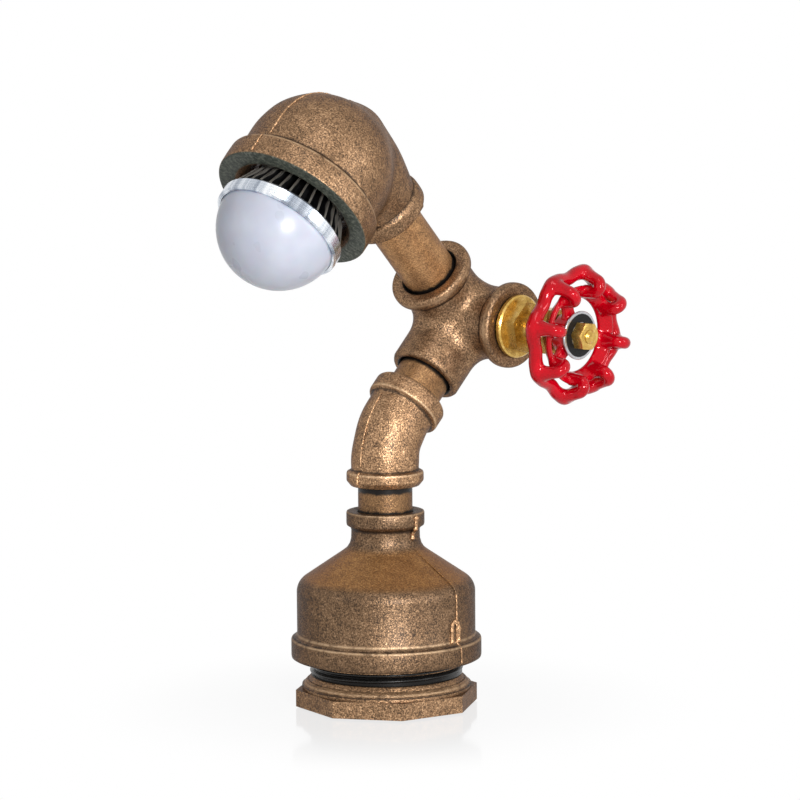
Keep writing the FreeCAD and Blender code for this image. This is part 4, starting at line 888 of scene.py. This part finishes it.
def build_elbow():
    """The elbow: a round tube swept along straight, arc and straight, with a turned band at each end."""
    leg, gap, count, lean = 16.0, 0.3, 8, math.radians(ELBOW_LEAN)
    t, away, height, run = elbow_bend(60)
    foot_leg = np.linspace(-leg, -run - gap, count)[:, None] * np.array([[0.0, 0.0, 1.0]])
    head_leg = np.linspace(run + gap, leg, count)[:, None] * [[0.0, math.sin(lean), math.cos(lean)]]
    line = np.concatenate([foot_leg, np.stack([0 * t, away, height], -1), head_leg])
    angle = np.concatenate([np.zeros(count), t, np.full(count, lean)])
    back = np.stack([0 * angle, np.cos(angle), -np.sin(angle)], -1)
    side = np.tile([1.0, 0.0, 0.0], (len(line), 1))
    size = ELBOW_TUBE + 0.12 * np.sin(line[:, 2] * 0.5)
    body = sweep(line, side, back, size, size, 120)
    step = [(12.6, 11.0), (13.1, 12.3), (13.7, 13.2), (14.9, 13.7), (15.1, 14.4)]
    band = rounded(step + [(15.1, 19.8), (14.5, 20.7), (13.9, 20.8), (11.5, 20.8), (10.75, 20.0),
                           (10.7, 9.0)], 0.4)
    foot = rounded(step + [(15.1, 17.2), (13.4, 19.3), (11.4, 19.3), (10.75, 18.6), (10.7, 9.0)], 0.35)
    points, faces = joined([body, moved(lathe(band, BAND_SIDES), turned("X", -ELBOW_LEAN)),
                            moved(lathe(foot, BAND_SIDES), turned("X", 180.0))])
    skin = mesh_object("elbow_casting", points, faces, ELBOW, "neck", elbow_paint)
    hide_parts("elbow_45")


# ---- casting seams

def ridge(name, line, up, place, body, material, size):
    """A low rounded seam along line (n, 3), half sunk in the skin; up (n, 3) points out of it. Its
    half width is size (1 + 0.3 times two sines of the run), so that it is uneven like a trimmed parting
    line, and it tapers over 0.6 mm at both ends."""
    line = np.asarray(line, float)
    run = np.concatenate([[0], np.cumsum(np.linalg.norm(np.diff(line, axis=0), axis=1))])
    even = np.linspace(0, run[-1], max(int(run[-1] / 0.4), 4))
    path = np.stack([np.interp(even, run, line[:, k]) for k in range(3)], -1)
    out = np.stack([np.interp(even, run, up[:, k]) for k in range(3)], -1)
    along = np.gradient(path, axis=0)
    side = np.cross(along, out)
    side /= np.linalg.norm(side, axis=1, keepdims=True)
    out = np.cross(side, along)
    out /= np.linalg.norm(out, axis=1, keepdims=True)
    uneven = 1 + 0.3 * np.sin(even * 2.1) * np.sin(even * 0.73 + 1.0)
    ends = np.clip(np.minimum(even, even[-1] - even) / 0.6, 0.15, 1.0)
    points, faces = sweep(path, side, out, size * uneven * ends, 0.75 * size * uneven * ends, 10)
    mesh_object(name, points, faces[:, ::-1], place, body, material)


def upright_line(profile, azimuth):
    """A profile (r, z) stood up at an azimuth, and its outward directions."""
    a = math.radians(azimuth)
    profile = np.asarray(profile, float)
    line = np.stack([profile[:, 0] * math.cos(a), profile[:, 0] * math.sin(a), profile[:, 1]], -1)
    return line, np.tile([math.cos(a), math.sin(a), 0.0], (len(line), 1))


def build_socket():
    """The reducing socket: a turned skin whose big band ends in a short edge over the black thread."""
    shoulder = arc((35.0, 45.2), (32.4, 51.0), (28.2, 45.2), 12)
    profile = [(30.3, 19.1), (36.5, 19.1), (37.2, 19.5), (37.35, 20.3), (37.35, 26.2), (37.2, 26.8),
               (36.8, 27.1), (35.4, 28.0), (35.0, 28.9), *shoulder, (17.0, 61.0), (15.2, 62.4),
               (14.1, 64.1), (13.5, 66.2), (13.4, 69.6), (13.7, 70.6), (15.1, 71.5), (15.3, 72.2),
               (15.3, 76.3), (15.1, 76.85), (14.7, 77.0), (11.4, 77.0), (10.75, 76.2), (10.7, 62.0),
               (24.0, 48.0), (30.0, 30.0), (30.3, 19.1)]
    points, faces = lathe(np.array(profile), TURNED_SIDES)
    skin = mesh_object("reducing_socket_casting", points, faces, BASE, "base", socket_paint)
    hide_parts("reducing_socket")


def build_flare():
    """The hollow cone between the bushing's octagon and its thread: a turned ring."""
    profile = [(28.0, 8.2), (33.25, 8.2), (33.2, 8.6), (32.2, 9.1), (31.0, 10.0), (30.2, 11.0),
               (29.8, 12.1), (29.3, 12.5), (28.0, 12.5), (28.0, 8.2)]
    points, faces = lathe(np.array(profile), TURNED_SIDES)
    ring = mesh_object("octagon_bushing_flare", points, faces, BASE, "base", bushing_paint)


def build_socket_seams():
    """Parting lines of the reducing socket on two sides, and the hoop-shaped stub of a runner."""
    seams = [
        ("socket_seam", seam_highlight_paint, 0.38,
         [(37.4, 19.9), (37.4, 26.2), (35.2, 28.3), (35.05, 45.0), (34.8, 47.4)]),
        ("socket_cone_seam", socket_paint, 0.26,
         [(34.8, 47.4), (34.1, 49.4), (32.2, 51.2), (16.2, 61.6), (14.0, 63.6), (13.45, 66.4)]),
        ("socket_neck_seam", seam_highlight_paint, 0.95, [(13.5, 66.2), (13.6, 68.8), (15.3, 71.4), (15.35, 76.4)])]
    for number, azimuth in enumerate((7.0, 187.0)):
        for name, material, size, profile in seams:
            line, up = upright_line(profile, azimuth)
            ridge(f"{name}_{number + 1}", line, up, BASE, "base", material, size)
    half, foot, top, azimuth, wall = 2.1, 28.0, 34.6, 5.6, 35.1
    t = np.linspace(0, math.pi, 20)
    hoop = np.concatenate([[(-half, foot)], np.stack([-half * np.cos(t), top + half * np.sin(t)], -1),
                           [(half, foot)]])
    angle = math.radians(azimuth) + hoop[:, 0] / wall
    out = np.stack([np.cos(angle), np.sin(angle), 0 * angle], -1)
    line = out * (wall + 0.05)
    line[:, 2] = hoop[:, 1]
    ridge("socket_runner_stub", line, out, BASE, "base", seam_highlight_paint, 0.85)


def build_elbow_seam():
    """Parting line on the outside of the elbow's bend, and across its lower band."""
    t, away, height, _ = elbow_bend(30)
    up = np.stack([0 * t, -np.cos(t), np.sin(t)], -1)
    line = np.stack([0 * t, away, height], -1) + (ELBOW_TUBE + 0.05) * up
    ridge("elbow_seam", line, up, ELBOW, "neck", seam_highlight_paint, 0.36)
    band = np.array([(0, -13.5, 12.8), (0, -15.1, 14.0), (0, -15.15, 17.1), (0, -13.6, 19.1)])
    out = np.tile([0.0, -1.0, 0.0], (4, 1))
    ridge("elbow_foot_seam", band * [1, 1, -1], out, ELBOW, "neck", seam_highlight_paint, 0.5)


build_socket()
build_flare()
build_socket_seams()
build_elbow_seam()
build_elbow()
build_corner()
build_handwheel()
build_head()

# ---- floor, light and camera

# Degrees, and millimetres for the camera's distance and the height it turns about.
CAMERA_BEARING, CAMERA_ELEVATION = 45.888, 7.057
CAMERA_YAW, CAMERA_PITCH, CAMERA_ROLL = 0.231, -0.174, -0.451
CAMERA_DISTANCE, CAMERA_HEIGHT = 1500.0, 125.0
FOCAL_PIXELS, PICTURE_PIXELS = 3849.6, 800.0
SENSOR = 36.0

# Metres for the lamps and the floor.
LAMP_TARGET = Vector((0, 0, 0.14))
FLOOR_HALF, FLOOR_DROP = 3.0, 0.0002

# Name, bearing to the camera's right, elevation, distance, size and power in watts.
LAMPS = [
    ("front", 14, 10, 1.2, (0.24, 0.24), 12.6),
    ("right", 62, 12, 1.1, (0.14, 0.5), 3.0),
    ("left", -60, 14, 1.1, (0.14, 0.4), 0.8),
    ("top", 5, 58, 1.1, (0.3, 0.3), 1.5),
]


def toward(bearing, elevation):
    """Unit vector at a bearing from the front and an elevation, both in degrees."""
    azimuth, height = math.radians(bearing), math.radians(elevation)
    return Vector((math.sin(azimuth) * math.cos(height), -math.cos(azimuth) * math.cos(height),
                   math.sin(height)))


def softbox(name, bearing, elevation, distance, size, power):
    """A rectangular lamp that is aimed at the neck."""
    place = LAMP_TARGET + distance * toward(CAMERA_BEARING + bearing, elevation)
    data = bpy.data.lights.new(name, "AREA")
    data.shape = "RECTANGLE"
    data.size, data.size_y = size
    data.energy = power
    item = bpy.data.objects.new(name, data)
    item.location = place
    item.rotation_euler = (LAMP_TARGET - place).to_track_quat("-Z", "Y").to_euler()
    bpy.context.scene.collection.objects.link(item)


def background_ray(nodes):
    """1 for what the camera sees directly, in a reflection or through glass."""
    path = nodes.node("ShaderNodeLightPath")
    kinds = ("Is Camera Ray", "Is Glossy Ray", "Is Transmission Ray")
    return either([Wire(nodes, path.outputs[kind]) for kind in kinds])


def build_floor():
    """A pale floor: white where it is seen, with a faint mirror image near the foot."""
    corners = [(x * FLOOR_HALF, y * FLOOR_HALF, 0) for x, y in ((-1, -1), (1, -1), (1, 1), (-1, 1))]
    mesh = bpy.data.meshes.new("floor")
    mesh.from_pydata(corners, [], [(0, 1, 2, 3)])
    floor = bpy.data.objects.new("floor", mesh)
    floor.location.z = -FLOOR_DROP
    bpy.context.scene.collection.objects.link(floor)
    paint = Paint("floor_white")
    speckle = paint.noise(40.0, 2.0)
    paint.finish(Base_Color=(0.7, 0.7, 0.7), Roughness=speckle.smooth(0.3, 0.7, 0.5, 0.6))
    plain_white = paint.shader.outputs[0]
    glow = paint.node("ShaderNodeEmission", Color=(1, 1, 1), Strength=1.0).outputs[0]
    gloss = paint.node("ShaderNodeBsdfGlossy", Color=(1, 1, 1), Roughness=0.1).outputs[0]
    near = reach_of(paint, BASE)[0].smooth(128.0, 42.0)
    mirrored = paint.mix_shaders(near * 0.17, glow, gloss)
    seen = paint.mix_shaders(near * 0.08, mirrored, plain_white)
    chosen = paint.mix_shaders(background_ray(paint), plain_white, seen)
    paint.feed(paint.tree.nodes["Material Output"].inputs["Surface"], chosen)
    mesh.materials.append(paint.material)


def build_world():
    """Soft grey surroundings that light the lamp, and white where the camera looks past it."""
    world = bpy.data.worlds.new("studio")
    bpy.context.scene.world = world
    world.use_nodes = True
    nodes = Nodes(world.node_tree)
    nodes.tree.nodes.clear()
    around = nodes.node("ShaderNodeBackground", Color=(0.80, 0.84, 0.92), Strength=0.12).outputs[0]
    behind = nodes.node("ShaderNodeBackground", Color=(1, 1, 1), Strength=1.0).outputs[0]
    nodes.node("ShaderNodeOutputWorld", Surface=nodes.mix_shaders(background_ray(nodes), around, behind))


def build_camera():
    """A long lens at the camera's bearing and elevation, aimed by a small yaw and pitch, and rolled."""
    yaw, pitch, roll = (math.radians(turn) for turn in (CAMERA_YAW, CAMERA_PITCH, CAMERA_ROLL))
    back = toward(CAMERA_BEARING, CAMERA_ELEVATION)
    forward = -back
    right = forward.cross(Vector((0, 0, 1))).normalized()
    up = right.cross(forward)
    aim = (forward * math.cos(yaw) * math.cos(pitch) + right * math.sin(yaw) * math.cos(pitch)
           + up * math.sin(pitch))
    side = aim.cross(up).normalized()
    top = side.cross(aim)
    across = side * math.cos(roll) + top * math.sin(roll)
    upward = top * math.cos(roll) - side * math.sin(roll)
    data = bpy.data.cameras.new("camera")
    data.sensor_width = SENSOR
    data.lens = FOCAL_PIXELS / PICTURE_PIXELS * SENSOR
    data.clip_start = 0.05
    data.clip_end = 50.0
    item = bpy.data.objects.new("camera", data)
    spot = (Vector((0, 0, CAMERA_HEIGHT)) + back * CAMERA_DISTANCE) * MM
    item.matrix_world = Matrix((
        (across.x, upward.x, -aim.x, spot.x), (across.y, upward.y, -aim.y, spot.y),
        (across.z, upward.z, -aim.z, spot.z), (0, 0, 0, 1)))
    bpy.context.scene.collection.objects.link(item)
    bpy.context.scene.camera = item


build_floor()
build_world()
build_camera()
for lamp in LAMPS:
    softbox(*lamp)

bpy.context.scene.view_settings.view_transform = "Standard"
